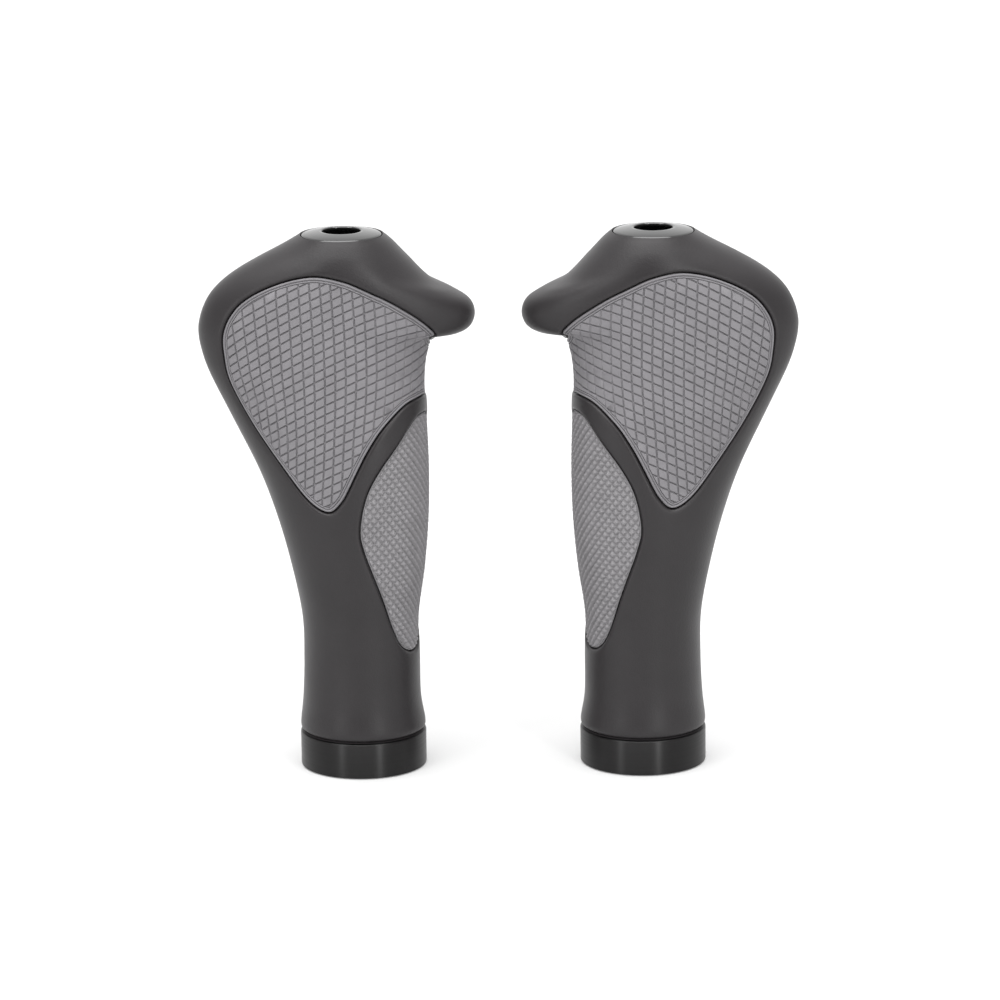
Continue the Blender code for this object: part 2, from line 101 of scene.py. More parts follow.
WIDEST_WING = 40.05

# Pad outlines: (degrees round from the horn side by way of the palm side, side z)
PALM_OUTLINE = (
    (0, 110.8), (22, 112.9), (38, 116.2), (49, 118.9), (61, 122.0), (73, 125.6), (88, 129.2),
    (107, 130.4), (124, 128.4), (137, 123.6), (144, 117.2), (147, 109.0), (149, 101.0), (145, 91.5),
    (135, 81.5), (122, 73.4), (108, 70.2), (97, 73.0), (87, 79.2), (75, 86.2), (61, 92.2),
    (41, 97.2), (18, 98.6), (0, 98.4), (-24, 99.6), (-44, 102.6), (-49, 105.8), (-40, 108.6),
    (-20, 110.2),
)
FINGER_OUTLINE = (
    (20, 93.6), (34, 91.8), (52, 86.0), (68, 79.9), (79, 73.4), (85, 65.0), (82, 59.0), (74, 52.0),
    (64, 44.8), (54, 38.3), (43, 33.6), (28, 31.6), (10, 32.2), (-9, 37.0), (-20, 46.0),
    (-25, 59.0), (-24, 73.0), (-17, 85.0), (0, 92.6),
)
OUTLINE_STEPS = 8


# ---------------------------------------------------------------- the grip's skin, as a formula


def catmull_rom(before, start, end, after, share):
    """Points of a uniform Catmull-Rom curve between start and end."""
    return 0.5 * (
        2 * start
        + (end - before) * share
        + (2 * before - 5 * start + 4 * end - after) * share**2
        + (3 * start - before - 3 * end + after) * share**3
    )


def section_at(station):
    """The eight section values at each station, counted in sections from the inboard end."""
    last = len(SECTIONS) - 1
    first = np.clip(station.astype(int), 0, last - 1)
    rows = [SECTIONS[np.clip(first + step, 0, last)] for step in (-1, 0, 1, 2)]
    return catmull_rom(*rows, (station - first)[:, None])


STATIONS = np.linspace(0, len(SECTIONS) - 1, 2001)
STATION_HEIGHTS = section_at(STATIONS)[:, SIDE_Z]


def skin(degrees, side_z):
    """Points of the grip body's skin, one row each."""
    wing, wing_z, horn, horn_z, front, back, side, centre = section_at(
        np.interp(side_z, STATION_HEIGHTS, STATIONS)
    ).T
    cosine, sine = np.cos(np.radians(degrees)), np.sin(np.radians(degrees))
    toward_horn = cosine > 0
    reach = np.where(toward_horn, horn - centre, wing + centre)
    tip_z = np.where(toward_horn, horn_z, wing_z)
    spread = np.clip((wing - RING_RADIUS) / (WIDEST_WING - RING_RADIUS), 0, None)
    hollow = 1 - WING_RELIEF * spread * np.sin(np.radians(2 * degrees)) ** 2
    depth = np.where(sine > 0, front, back * np.where(toward_horn, 1, hollow))
    z = tip_z * cosine**2 + side * sine**2
    return np.column_stack((centre + cosine * reach, -depth * sine, z))


def skin_normals(degrees, side_z):
    """Outward normals of the skin."""
    lower, upper = (
        np.clip(side_z + step, STATION_HEIGHTS[0], STATION_HEIGHTS[-1]) for step in (-0.1, 0.1)
    )
    up = skin(degrees, upper) - skin(degrees, lower)
    around = skin(degrees + 0.5, side_z) - skin(degrees - 0.5, side_z)
    normals = np.cross(up, around)
    return normals / np.linalg.norm(normals, axis=1)[:, None]


def sunk(degrees, side_z, depth):
    """Points below the skin by a depth."""
    return skin(degrees, side_z) - skin_normals(degrees, side_z) * np.asarray(depth)[:, None]


# The skin flattened: u is the way round each section in millimetres from its front, towards the horn.
FLAT_DEGREES = np.linspace(-120, 200, 641)
FLAT_HEIGHTS = np.linspace(20, 138, 237)


def flattened():
    """u for every pair of FLAT_HEIGHTS and FLAT_DEGREES."""
    front = int(np.argmin(abs(FLAT_DEGREES - 90)))
    table = []
    for height in FLAT_HEIGHTS:
        points = skin(FLAT_DEGREES, np.full(len(FLAT_DEGREES), height))
        steps = np.linalg.norm(np.diff(points, axis=0), axis=1)
        run = np.concatenate(([0], np.cumsum(steps)))
        table.append(points[front, 0] - (run - run[front]))
    return np.array(table)


FLAT_U = flattened()


def by_height(side_z, values_in_row):
    """Interpolates between the two rows of FLAT_U around each height."""
    place = np.interp(side_z, FLAT_HEIGHTS, np.arange(len(FLAT_HEIGHTS)))
    row = np.clip(place.astype(int), 0, len(FLAT_HEIGHTS) - 2)
    result = np.empty(len(side_z))
    for index in np.unique(row):
        here = row == index
        share = place[here] - index
        result[here] = values_in_row(index, here) * (1 - share) + values_in_row(index + 1, here) * share
    return result


def to_flat(degrees, side_z):
    return by_height(side_z, lambda row, here: np.interp(degrees[here], FLAT_DEGREES, FLAT_U[row]))


def to_degrees(u, side_z):
    return by_height(
        side_z, lambda row, here: np.interp(u[here], FLAT_U[row][::-1], FLAT_DEGREES[::-1])
    )


def on_skin(u, side_z):
    """Points of the skin from places on the flattened skin."""
    return skin(to_degrees(u, side_z), side_z)


def flat_outline(outline):
    """A pad's outline on the flattened skin, as a smooth closed curve."""
    points = np.array(outline, float)
    around = [np.roll(points, -step, axis=0) for step in (-1, 0, 1, 2)]
    shares = [catmull_rom(*around, step / OUTLINE_STEPS) for step in range(OUTLINE_STEPS)]
    degrees, side_z = np.stack(shares, axis=1).reshape(-1, 2).T
    return np.column_stack((to_flat(degrees, side_z), side_z))


def closed(loop):
    """A loop with its first point again at its end."""
    return np.concatenate((loop, loop[:1]))


def inset(loop, distance):
    """A flat loop moved inwards along the skin by a distance (outwards if negative)."""
    u, z = loop.T
    step = 0.1
    across = (on_skin(u + step, z) - on_skin(u - step, z)) / (2 * step)
    along = (on_skin(u, z + step) - on_skin(u, z - step)) / (2 * step)
    aa, ab, bb = (np.sum(p * q, axis=1) for p, q in ((across, across), (across, along), (along, along)))
    tu, tz = (np.roll(loop, -1, axis=0) - np.roll(loop, 1, axis=0)).T
    nu, nz = -(ab * tu + bb * tz), aa * tu + ab * tz
    length = np.sqrt(aa * nu**2 + 2 * ab * nu * nz + bb * nz**2)
    if np.sum(u * np.roll(z, -1) - z * np.roll(u, -1)) < 0:
        length = -length
    return loop + np.column_stack((nu, nz)) / length[:, None] * distance


def distance_inside(points, loop):
    """How far each flat point lies inside a closed loop; negative outside it."""
    start, end = loop, np.roll(loop, -1, axis=0)
    least = np.full(len(points), np.inf)
    crossings = np.zeros(len(points), int)
    for a, b in zip(start, end):
        run = b - a
        share = np.clip((points - a) @ run / (run @ run), 0, 1)
        least = np.minimum(least, np.linalg.norm(points - a - share[:, None] * run, axis=1))
        if run[1]:
            straddles = (a[1] > points[:, 1]) != (b[1] > points[:, 1])
            crossings += straddles & (points[:, 0] < a[0] + run[0] * (points[:, 1] - a[1]) / run[1])
    return np.where(crossings % 2 == 1, least, -least)


def clipped(start, end, loop, margin=0.05):
    """The parts of a straight flat stretch that lie inside a closed loop, kept a little off it."""
    start, run = np.array(start, float), np.subtract(end, start)
    a, b = loop, np.roll(loop, -1, axis=0)
    edge = b - a
    cross = run[0] * edge[:, 1] - run[1] * edge[:, 0]
    cross[abs(cross) < 1e-12] = 1e-12
    from_start = a - start
    along_line = (from_start[:, 0] * edge[:, 1] - from_start[:, 1] * edge[:, 0]) / cross
    along_edge = (from_start[:, 0] * run[1] - from_start[:, 1] * run[0]) / cross
    cuts = np.sort(along_line[(along_edge >= 0) & (along_edge < 1)])
    keep = margin / np.linalg.norm(run)
    spans = [(max(low + keep, 0), min(high - keep, 1)) for low, high in zip(cuts[::2], cuts[1::2])]
    shortest = keep / 9
    return [(start + run * low, start + run * high) for low, high in spans if high - low > shortest]


def filled(loop, chains):
    """Flat points and triangles that fill a closed loop, with edges along the chains of points inside it.

    The points start with the loop's own, in order. The third list gives the place of each point among the
    loop's and the chains' points, or -1 for a new point where edges cross.
    """
    places = [Vector(point) for point in loop]
    edges = []
    for chain in chains:
        first = len(places)
        places += [Vector(point) for point in chain]
        edges += [(index, index + 1) for index in range(first, len(places) - 1)]
    rim = list(range(len(loop)))
    found, _, faces, sources, _, _ = delaunay_2d_cdt(places, edges, [rim], 1, 1e-5)
    place_of = {source: index for index, inputs in enumerate(sources) for source in inputs}
    order = [place_of[index] for index in rim]
    taken = set(order)
    order += [index for index in range(len(found)) if index not in taken]
    new_index = {old: new for new, old in enumerate(order)}
    points = np.array([found[index] for index in order])
    faces = [tuple(new_index[corner] for corner in face) for face in faces]
    return points, faces, [sources[index][0] if sources[index] else -1 for index in order]


# ---------------------------------------------------------------- mesh helpers


class SkinMesh:
    """Points placed outright or by their depth below the skin, and the faces between them."""

    def __init__(self):
        self.points = []
        self.faces = []
        self.count = 0

    def place(self, points):
        """Adds points in the left grip's frame and returns their indices."""
        self.points.append(np.asarray(points, float))
        first, self.count = self.count, self.count + len(points)
        return list(range(first, self.count))

    def sink(self, degrees, side_z, depth):
        """Adds points at a depth below the skin."""
        return self.place(sunk(degrees, side_z, np.broadcast_to(depth, len(degrees))))

    def sink_flat(self, flat, depth):
        """Adds points of the flattened skin at a depth below it."""
        u, z = np.asarray(flat).T
        return self.sink(to_degrees(u, z), z, depth)

    def circle(self, turns, radius, centre_x, z):
        """Adds a level circle of points at these angles."""
        return self.place(
            [(centre_x + radius * math.cos(turn), -radius * math.sin(turn), z) for turn in turns]
        )

    def bridge(self, lower, upper):
        """Quads between two closed rings of equally many points."""
        for index in range(len(lower)):
            following = (index + 1) % len(lower)
            self.faces.append((lower[index], lower[following], upper[following], upper[index]))

    def cover(self, indices, faces):
        """Adds faces that name places in a list of indices."""
        self.faces += [tuple(indices[corner] for corner in face) for face in faces]

    def object(self, name):
        """The finished object, its doubles merged and its faces turned outwards."""
        mesh = bpy.data.meshes.new(name)
        points = (np.concatenate(self.points) + (AXIS_X, AXIS_Y, 0)) * MM
        mesh.from_pydata(points.tolist(), [], self.faces)
        obj = bpy.data.objects.new(name, mesh)
        bpy.context.scene.collection.objects.link(obj)
        bm = bmesh.new()
        bm.from_mesh(mesh)
        bmesh.ops.remove_doubles(bm, verts=bm.verts, dist=MERGE)
        bmesh.ops.recalc_face_normals(bm, faces=bm.faces)
        if bm.calc_volume(signed=True) < 0:
            bmesh.ops.reverse_faces(bm, faces=bm.faces)
        bm.to_mesh(mesh)
        bm.free()
        return obj


def select_alone(obj):
    """Makes an object the only one selected, and the active one."""
    bpy.ops.object.select_all(action="DESELECT")
    obj.select_set(True)
    bpy.context.view_layer.objects.active = obj


def open_piece(obj):
    """Selects an object alone and enters edit mode."""
    select_alone(obj)
    bpy.ops.object.mode_set(mode="EDIT")


def start_piece(name, primitive, at, **sizes):
    """Adds a primitive at a place in the left grip's frame, in mm, and opens it with nothing selected."""
    bpy.ops.object.select_all(action="DESELECT")
    x, y, z = at
    primitive(location=((AXIS_X + x) * MM, (AXIS_Y + y) * MM, z * MM), **sizes)
    bpy.ops.object.transform_apply(location=True, rotation=True, scale=True)
    obj = bpy.context.object
    obj.name = name
    bpy.ops.object.mode_set(mode="EDIT")
    bpy.ops.mesh.select_all(action="DESELECT")
    return obj


def pick(obj, kind, rule):
    """Selects, in edit mode, the items of a kind that fit a rule of their middle, in mm, and of the item."""
    bpy.ops.mesh.select_all(action="DESELECT")
    bm = bmesh.from_edit_mesh(obj.data)
    bm.select_mode = {kind}
    for item in {"VERT": bm.verts, "EDGE": bm.edges, "FACE": bm.faces}[kind]:
        corners = [item] if kind == "VERT" else item.verts
        middle = sum((corner.co for corner in corners), Vector()) / len(corners)
        item.select_set(bool(rule((middle - GRIP_AXIS) / MM, item)))
    bm.select_flush_mode()
    bmesh.update_edit_mesh(obj.data)


def end_piece(obj, sharp_degrees=30.0):
    """Merges doubles, turns faces outwards, and shades the piece."""
    if bpy.context.mode != "EDIT_MESH":
        open_piece(obj)
    bpy.ops.mesh.select_mode(type="FACE")
    bpy.ops.mesh.select_all(action="SELECT")
    bpy.ops.mesh.remove_doubles(threshold=MERGE)
    bpy.ops.mesh.normals_make_consistent(inside=False)
    bpy.ops.mesh.select_all(action="DESELECT")
    bpy.ops.object.mode_set(mode="OBJECT")
    select_alone(obj)
    bpy.ops.object.shade_smooth_by_angle(angle=math.radians(sharp_degrees))
    return obj


def turned(name, profile, centre_x=0.0, segments=96):
    """A body of revolution, drawn out from a circle loop by loop along a profile of (radius, z).

    The profile either closes on itself, or starts and ends in a flat face.
    """
    radius, z = profile[0]
    closes = profile[0] == profile[-1]
    obj = start_piece(
        name,
        bpy.ops.mesh.primitive_circle_add,
        (centre_x, 0, z),
        radius=radius * MM,
        vertices=segments,
        fill_type="NOTHING" if closes else "NGON",
    )
    pick(obj, "EDGE", lambda at, edge: True)
    for (radius, z), (next_radius, next_z) in zip(profile, profile[1:]):
        bpy.ops.mesh.extrude_edges_move(TRANSFORM_OT_translate={"value": (0, 0, (next_z - z) * MM)})
        share = next_radius / radius
        centre = ((AXIS_X + centre_x) * MM, AXIS_Y * MM, next_z * MM)
        bpy.ops.transform.resize(value=(share, share, 1), center_override=centre)
    if not closes:
        bpy.ops.mesh.edge_face_add()
    return end_piece(obj)


def rounded(corners, radius, steps=3):
    """A closed profile with its corners rounded, from sharp (radius, z) corners."""
    profile = []
    for index, corner in enumerate(corners):
        before = Vector(corners[index - 1]) - Vector(corner)
        after = Vector(corners[(index + 1) % len(corners)]) - Vector(corner)
        reach = min(radius, before.length / 2.2, after.length / 2.2)
        start = Vector(corner) + before.normalized() * reach
        end = Vector(corner) + after.normalized() * reach
        for share in (step / steps for step in range(steps + 1)):
            middle = Vector(corner) * 2 * share * (1 - share)
            profile.append(tuple(start * (1 - share) ** 2 + middle + end * share**2))
    return profile + profile[:1]


def carve(obj, tool, operation="DIFFERENCE"):
    """Cuts a tool body out of a piece or joins it on, and removes the tool."""
    select_alone(obj)
    modifier = obj.modifiers.new("carve", "BOOLEAN")
    modifier.operation = operation
    modifier.solver = "EXACT"
    modifier.object = tool
    bpy.ops.object.modifier_apply(modifier=modifier.name)
    bpy.data.objects.remove(tool)


def cylinder_tool(at, radius, length, turn=(0, 0, 0), sides=48):
    """A cylinder to carve with, upright unless turned, centred at a place."""
    primitive = bpy.ops.mesh.primitive_cylinder_add
    size = {"radius": radius * MM, "depth": length * MM}
    tool = start_piece("tool", primitive, at, vertices=sides, rotation=turn, **size)
    bpy.ops.object.mode_set(mode="OBJECT")
    return tool


def rod_tool(start, end, y, z, radius):
    """A level cylinder along X to carve with, from start to end."""
    return cylinder_tool(((start + end) / 2, y, z), radius, end - start, (0, math.pi / 2, 0))


def box_tool(low, high):
    """A box to carve with, between two corners."""
    middle = [(a + b) / 2 for a, b in zip(low, high)]
    size = [(b - a) * MM for a, b in zip(low, high)]
    tool = start_piece("tool", bpy.ops.mesh.primitive_cube_add, middle, size=1, scale=size)
    bpy.ops.object.mode_set(mode="OBJECT")
    return tool


def mirrored(obj, name):
    """A mirror-image copy across the middle of the pair, with its own mesh."""
    mesh = obj.data.copy()
    mesh.name = name
    mesh.transform(Matrix.Scale(-1, 4, (1, 0, 0)))
    mesh.flip_normals()
    copy = bpy.data.objects.new(name, mesh)
    bpy.context.scene.collection.objects.link(copy)
    return copy


def deliver(obj, node, body, material):
    """Finishes a left piece and its mirror image, each riding on its body in place of its CAD node."""
    if not obj.data.polygons:
        raise RuntimeError(f"{node} has no faces")
    obj.data.materials.clear()
    obj.data.materials.append(material)
    obj.name = f"left_{node}_visual"
    obj.data.name = obj.name
    for side, piece in (("left", obj), ("right", mirrored(obj, f"right_{node}_visual"))):
        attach(piece, body.format(side=side))
        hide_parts(f"{side}_{node}")


# ---------------------------------------------------------------- materials


class Nodes:
    """A node tree, with short ways to add to it. A value is a number, a colour or another node's output."""

    def __init__(self, tree):
        self.tree = tree

    def feed(self, socket, value):
        """Links a socket to an output, or sets it to a value."""
        if isinstance(value, bpy.types.NodeSocket):
            self.tree.links.new(value, socket)
        else:
            socket.default_value = value

    def add(self, kind, inputs=(), **settings):
        """A new node, with its settings and its inputs' values."""
        node = self.tree.nodes.new(kind)
        for key, value in settings.items():
            setattr(node, key, value)
        for name, value in inputs:
            self.feed(node.inputs[name], value)
        return node

    def math(self, operation, first, second=0.0):
        node = self.add("ShaderNodeMath", ((0, first), (1, second)), operation=operation)
        return node.outputs["Value"]

    def parts(self, kind="Object"):
        """The X, Y and Z of a kind of coordinates."""
        place = self.add("ShaderNodeTexCoord").outputs[kind]
        return self.add("ShaderNodeSeparateXYZ", (("Vector", place),)).outputs

    def joined(self, x=0.0, y=0.0, z=0.0):
        return self.add("ShaderNodeCombineXYZ", (("X", x), ("Y", y), ("Z", z))).outputs["Vector"]

    def ramp(self, value, low, high, start=0.3, end=0.7):
        """A value's range between start and end stretched to low and high."""
        limits = (("From Min", start), ("From Max", end), ("To Min", low), ("To Max", high))
        return self.add("ShaderNodeMapRange", (("Value", value), *limits)).outputs["Result"]


class Finish(Nodes):
    """A procedural material: a Principled shader with noise for its tone, its gloss and its relief."""

    def __init__(self, name, colour, roughness, metallic=0.0, specular=0.5):
        self.material = bpy.data.materials.new(name)
        self.material.use_nodes = True
        super().__init__(self.material.node_tree)
        self.shader = self.tree.nodes["Principled BSDF"].inputs
        self.colour = tuple(colour)
        self.normal = None
        self.shader["Base Color"].default_value = (*self.colour, 1)
        self.shader["Roughness"].default_value = roughness
        self.shader["Metallic"].default_value = metallic
        self.shader["Specular IOR Level"].default_value = specular

    def place(self, stretch=(1, 1, 1)):
        """The piece's own coordinates in metres, stretched."""
        place = self.add("ShaderNodeTexCoord").outputs["Object"]
        return self.add("ShaderNodeMapping", (("Vector", place), ("Scale", stretch))).outputs["Vector"]

    def from_axis(self):
        """The way from a grip's upright axis along X, turned over on the right grip, and along Y."""
        x, y, _ = self.parts()
        away = self.math("SUBTRACT", self.math("ABSOLUTE", x), -GRIP_AXIS.x)
        return away, self.math("SUBTRACT", y, GRIP_AXIS.y)

    def round_place(self):
        """Coordinates of (radius, 0, height) about a grip's upright axis, the same on both grips."""
        squares = [self.math("POWER", way, 2.0) for way in self.from_axis()]
        return self.joined(x=self.math("SQRT", self.math("ADD", *squares)), z=self.parts()["Z"])

    def noise(self, size, detail, place=None):
        """Noise whose features are about this many millimetres across."""
        place = self.place() if place is None else place
        inputs = (("Vector", place), ("Scale", 1 / (size * MM)), ("Detail", detail))
        return self.add("ShaderNodeTexNoise", inputs).outputs["Fac"]

    def cells(self, size):
        """Distances to the nearest of scattered points about this many millimetres apart."""
        inputs = (("Vector", self.place()), ("Scale", 1 / (size * MM)))
        return self.add("ShaderNodeTexVoronoi", inputs).outputs["Distance"]

    def tone(self, value, low, high):
        """Lets a value vary the colour between two shares of it."""
        mix = self.add("ShaderNodeMix", (("Factor", self.ramp(value, 0.0, 1.0)),), data_type="RGBA")
        ends = [socket for socket in mix.inputs if socket.type == "RGBA"]
        for socket, share in zip(ends, (low, high)):
            socket.default_value = (*(channel * share for channel in self.colour), 1)
        mixed = next(socket for socket in mix.outputs if socket.type == "RGBA")
        self.feed(self.shader["Base Color"], mixed)

    def gloss(self, value, low, high):
        """Lets a value vary the roughness."""
        self.feed(self.shader["Roughness"], self.ramp(value, low, high))

    def relief(self, value, height):
        """Adds a relief of this height in millimetres."""
        bump = self.add("ShaderNodeBump", (("Height", value), ("Distance", height * MM)))
        if self.normal:
            self.feed(bump.inputs["Normal"], self.normal)
        self.normal = bump.outputs["Normal"]
        self.feed(self.shader["Normal"], self.normal)


def rubber_finish(colour):
    finish = Finish("matte_rubber", colour, 0.4, specular=0.32)
    finish.tone(finish.noise(9.0, 3.0), 0.93, 1.07)
    finish.gloss(finish.noise(14.0, 4.0), 0.36, 0.45)
    finish.relief(finish.noise(0.35, 2.0), 0.03)
    finish.relief(finish.cells(0.9), 0.012)
    return finish.material


def pad_finish(name, colour):
    finish = Finish(name, colour, 0.75, specular=0.3)
    finish.tone(finish.noise(5.0, 4.0), 0.94, 1.06)
    finish.gloss(finish.noise(3.0, 2.0), 0.68, 0.8)
    finish.relief(finish.noise(0.22, 3.0), 0.03)
    return finish.material


def anodised_finish(colour):
    """Turned and anodised: fine rings, and a shine drawn out along the axis."""
    finish = Finish("anodised_turned", colour, 0.42, specular=0.33)
    place = finish.round_place()
    finish.gloss(finish.noise(0.45, 3.0, place), 0.38, 0.46)
    finish.relief(finish.noise(0.12, 1.0, place), 0.003)
    finish.tone(finish.noise(0.6, 2.0, place), 0.85, 1.15)
    finish.shader["Anisotropic"].default_value = 0.98
    finish.shader["Anisotropic Rotation"].default_value = 0.25
    side = finish.math("SIGN", finish.parts()["X"])
    x, y = finish.from_axis()
    tangent = finish.joined(finish.math("MULTIPLY", y, -1.0), finish.math("MULTIPLY", side, x))
    finish.feed(finish.shader["Tangent"], tangent)
    return finish.material


def gloss_finish(colour):
    finish = Finish("polished_black", colour, 0.08, specular=0.75)
    finish.gloss(finish.noise(2.5, 3.0), 0.06, 0.13)
    finish.relief(finish.noise(3.0, 1.0), 0.008)
    return finish.material


def nylon_finish(colour):
    """Moulded, with faint flow marks along the axis."""
    finish = Finish("moulded_nylon", colour, 0.5, specular=0.45)
    finish.tone(finish.noise(1.2, 3.0, finish.place((1, 1, 0.15))), 0.85, 1.2)
    finish.relief(finish.noise(0.3, 2.0), 0.02)
    finish.gloss(finish.noise(0.8, 2.0, finish.place((1, 1, 0.2))), 0.42, 0.6)
    return finish.material


def steel_finish(colour):
    finish = Finish("zinc_plated_steel", colour, 0.3, metallic=1.0)
    finish.tone(finish.noise(1.5, 4.0), 0.85, 1.1)
    finish.gloss(finish.noise(0.8, 3.0), 0.24, 0.4)
    finish.relief(finish.noise(0.15, 2.0), 0.006)
    return finish.material


def alloy_finish(colour):
    """Turned bright metal with fine rings."""
    finish = Finish("machined_alloy", colour, 0.36, metallic=1.0)
    place = finish.round_place()
    finish.gloss(finish.noise(0.4, 3.0, place), 0.28, 0.45)
    finish.relief(finish.noise(0.18, 1.0, place), 0.01)
    finish.tone(finish.noise(0.5, 2.0, place), 0.9, 1.08)
    return finish.material


# ---------------------------------------------------------------- the soft pieces


RUBBER_BOTTOM = 9.6
RUBBER_TOP = 139.0
BODY_COLUMNS = 96
# Rows of points on the grip body, closer together where it bends most: (from, to, distance apart)
BODY_ROWS = ((RUBBER_BOTTOM, 12.0, 0.4), (12.0, 108.0, 0.9), (108.0, 124.0, 0.4))
TOP_ROWS = np.linspace(124.0, RUBBER_TOP, 33)
BORE_RADIUS = 12.5
BORE_TOP = 124.3
BEZEL_SEAT = 9.0
BEZEL_WELL = 10.38
# How far outside a pad's outline each line round its pocket runs, and how deep below the skin
POCKET_LIP = ((1.7, 0.0), (1.2, 0.03), (0.85, 0.1), (0.62, 0.22), (0.46, 0.42), (0.38, 0.7), (0.36, 1.3))
POCKETS = ((PALM_OUTLINE, 2.15), (FINGER_OUTLINE, 1.35))
# Two lines near the foot of a pocket's wall, and how near a pocket's lines the grid's points may come
POCKET_FOOT = (0.34, -0.3)
CLEAR_OUTSIDE = 0.25
CLEAR_INSIDE = 0.6
POCKET_SEARCH = 5.0
FAR_OFF = 1000.0
# The body's inside, from its inboard rim through the bar bore up to the bezel's well: (radius, centre x, z)
BODY_INSIDE = (
    (RING_RADIUS - 0.25, 0.0, RUBBER_BOTTOM - 0.22),
    (RING_RADIUS - 0.5, 0.0, RUBBER_BOTTOM - 0.26),
    (BORE_RADIUS + 0.3, 0.0, RUBBER_BOTTOM - 0.26),
    (BORE_RADIUS, 0.0, RUBBER_BOTTOM),
    (BORE_RADIUS, 0.0, BORE_TOP),
    (BEZEL_SEAT, BOLT_X, BORE_TOP + 0.2),
    (BEZEL_SEAT, BOLT_X, BORE_TOP + 0.6),
    (BEZEL_WELL, BOLT_X, BORE_TOP + 0.7),
    (BEZEL_WELL, BOLT_X, RUBBER_TOP - 0.4),
    (BEZEL_WELL + 0.1, BOLT_X, RUBBER_TOP - 0.1),
)


def build_body():
    """The moulded rubber body: skin with rounded pockets for the pads, bar bore and bezel well."""
    columns = np.linspace(-180, 180, BODY_COLUMNS + 1)
    rows = np.concatenate([np.arange(*span) for span in BODY_ROWS] + [TOP_ROWS])
    rim = [(turn, rows[0]) for turn in columns] + [(180.0, row) for row in rows[1:]]
    rim += [(turn, rows[-1]) for turn in columns[::-1][1:]] + [(-180.0, row) for row in rows[::-1][1:-1]]
    grid = np.array([(turn, row) for row in rows[1:-1] for turn in columns[1:-1]])
    turns, heights = grid.T
    grid_depth = np.zeros(len(grid))
    mapped = (turns > FLAT_DEGREES[0]) & (turns < FLAT_DEGREES[-1]) & (heights > FLAT_HEIGHTS[0])
    flat = np.column_stack((np.full(len(grid), FAR_OFF), heights))
    flat[mapped, 0] = to_flat(turns[mapped], heights[mapped])
    keep = np.ones(len(grid), bool)
    chains, depths = [], [0.0] * len(rim)
    for outline, floor in POCKETS:
        loop = flat_outline(outline)
        low, high = loop[:, 1].min() - POCKET_SEARCH, loop[:, 1].max() + POCKET_SEARCH
        near = mapped & (heights > low) & (heights < high)
        away = np.full(len(grid), -FAR_OFF)
        away[near] = distance_inside(flat[near], loop)
        keep &= (away < -POCKET_LIP[0][0] - CLEAR_OUTSIDE) | (away > CLEAR_INSIDE)
        grid_depth[away > 0] = floor
        for distance, depth in (*POCKET_LIP, *((foot, floor) for foot in POCKET_FOOT)):
            line = inset(loop, -distance)
            chains.append(closed(np.column_stack((to_degrees(*line.T), line[:, 1]))))
            depths += [depth] * len(chains[-1])
    chains += list(grid[keep][:, None])
    depths += [*grid_depth[keep], 0.0]

    scale = np.array((math.radians(1) * RING_RADIUS, 1.0))
    points, faces, sources = filled(np.array(rim) * scale, [chain * scale for chain in chains])
    body = SkinMesh()
    indices = body.sink(*(points / scale).T, np.array(depths)[sources])
    body.cover(indices, faces)
    lower = indices[:BODY_COLUMNS]
    corner = BODY_COLUMNS + len(rows) - 1
    top = indices[corner + BODY_COLUMNS : corner : -1]
    for radius, centre_x, z in BODY_INSIDE:
        ring = body.circle(np.radians(columns[:-1]), radius, centre_x, z)
        body.bridge(lower, ring)
        lower = ring
    body.bridge(lower, top)
    return body.object("grip_body")


# Lines round each pad's face: (distance in from its edge, depth below the skin)
PALM_RIM = (
    (0.0, 1.8), (0.0, 0.78), (0.07, 0.56), (0.2, 0.42), (0.42, 0.38), (0.58, 0.48), (0.68, 0.78),
    (0.8, 0.78), (0.9, 0.5), (1.04, 0.42), (1.18, 0.48), (1.28, 0.8),
)
FINGER_RIM = ((0.0, 1.0), (0.0, 0.74), (0.08, 0.58), (0.2, 0.54), (0.3, 0.7))
PALM_FACE = 0.4
FINGER_FACE = 0.22
SHOULDER = 0.16  # from a rim to the line where the pattern has its full height
RIM_BLEND = 0.14
BACK_SPACING = 2.5
BACK_MARGIN = 1.2
HORN_FADE = 0.06  # share of its depth that a pattern loses in each millimetre towards the horn

# The palm's long grooves run up the pad: their numbers, the place and number of the straightest, their
# distance apart low down and how much it grows, how they bow, how the far ones fan out near the top, and
# their depth as a share of the cross grooves'
LONG_GROOVES = range(-8, 22)
CENTRE_GROOVE = 6
CENTRE_U = -7.75
LONG_PITCH = 2.44
PITCH_GROWTH = 0.24
GROWTH_HEIGHTS = (88.0, 104.0)
GROOVE_BOW = 0.0015
BOW_HEIGHT = 104.0
FAN_SPREAD = 0.0021
FAN_FROM = 98.0
LONG_SHARE = 0.9
# The cross grooves slant and bow: their slope at the front and how fast it falls
CROSS_SLOPE = 0.43
CROSS_BOW = 0.00415
FLOOR_SHARE = 0.16  # half a groove's floor over its whole width
PALM_HEIGHTS = (60.0, 135.0)
PALM_REACH = 45.0


def long_groove(index, z):
    """How far round the palm's long groove of this number runs at a height."""
    count = index - CENTRE_GROOVE
    low, high = GROWTH_HEIGHTS
    pitch = LONG_PITCH + PITCH_GROWTH * np.clip((z - low) / (high - low), 0, 1)
    fan = FAN_SPREAD * np.maximum(z - FAN_FROM, 0) * min(count, 0) ** 2
    return CENTRE_U + count * pitch - fan - GROOVE_BOW * (z - BOW_HEIGHT) ** 2


def cross_rise(u):
    """The bowed course of the cross grooves: their height against how far round they run."""
    return CROSS_SLOPE * u - CROSS_BOW * u * u


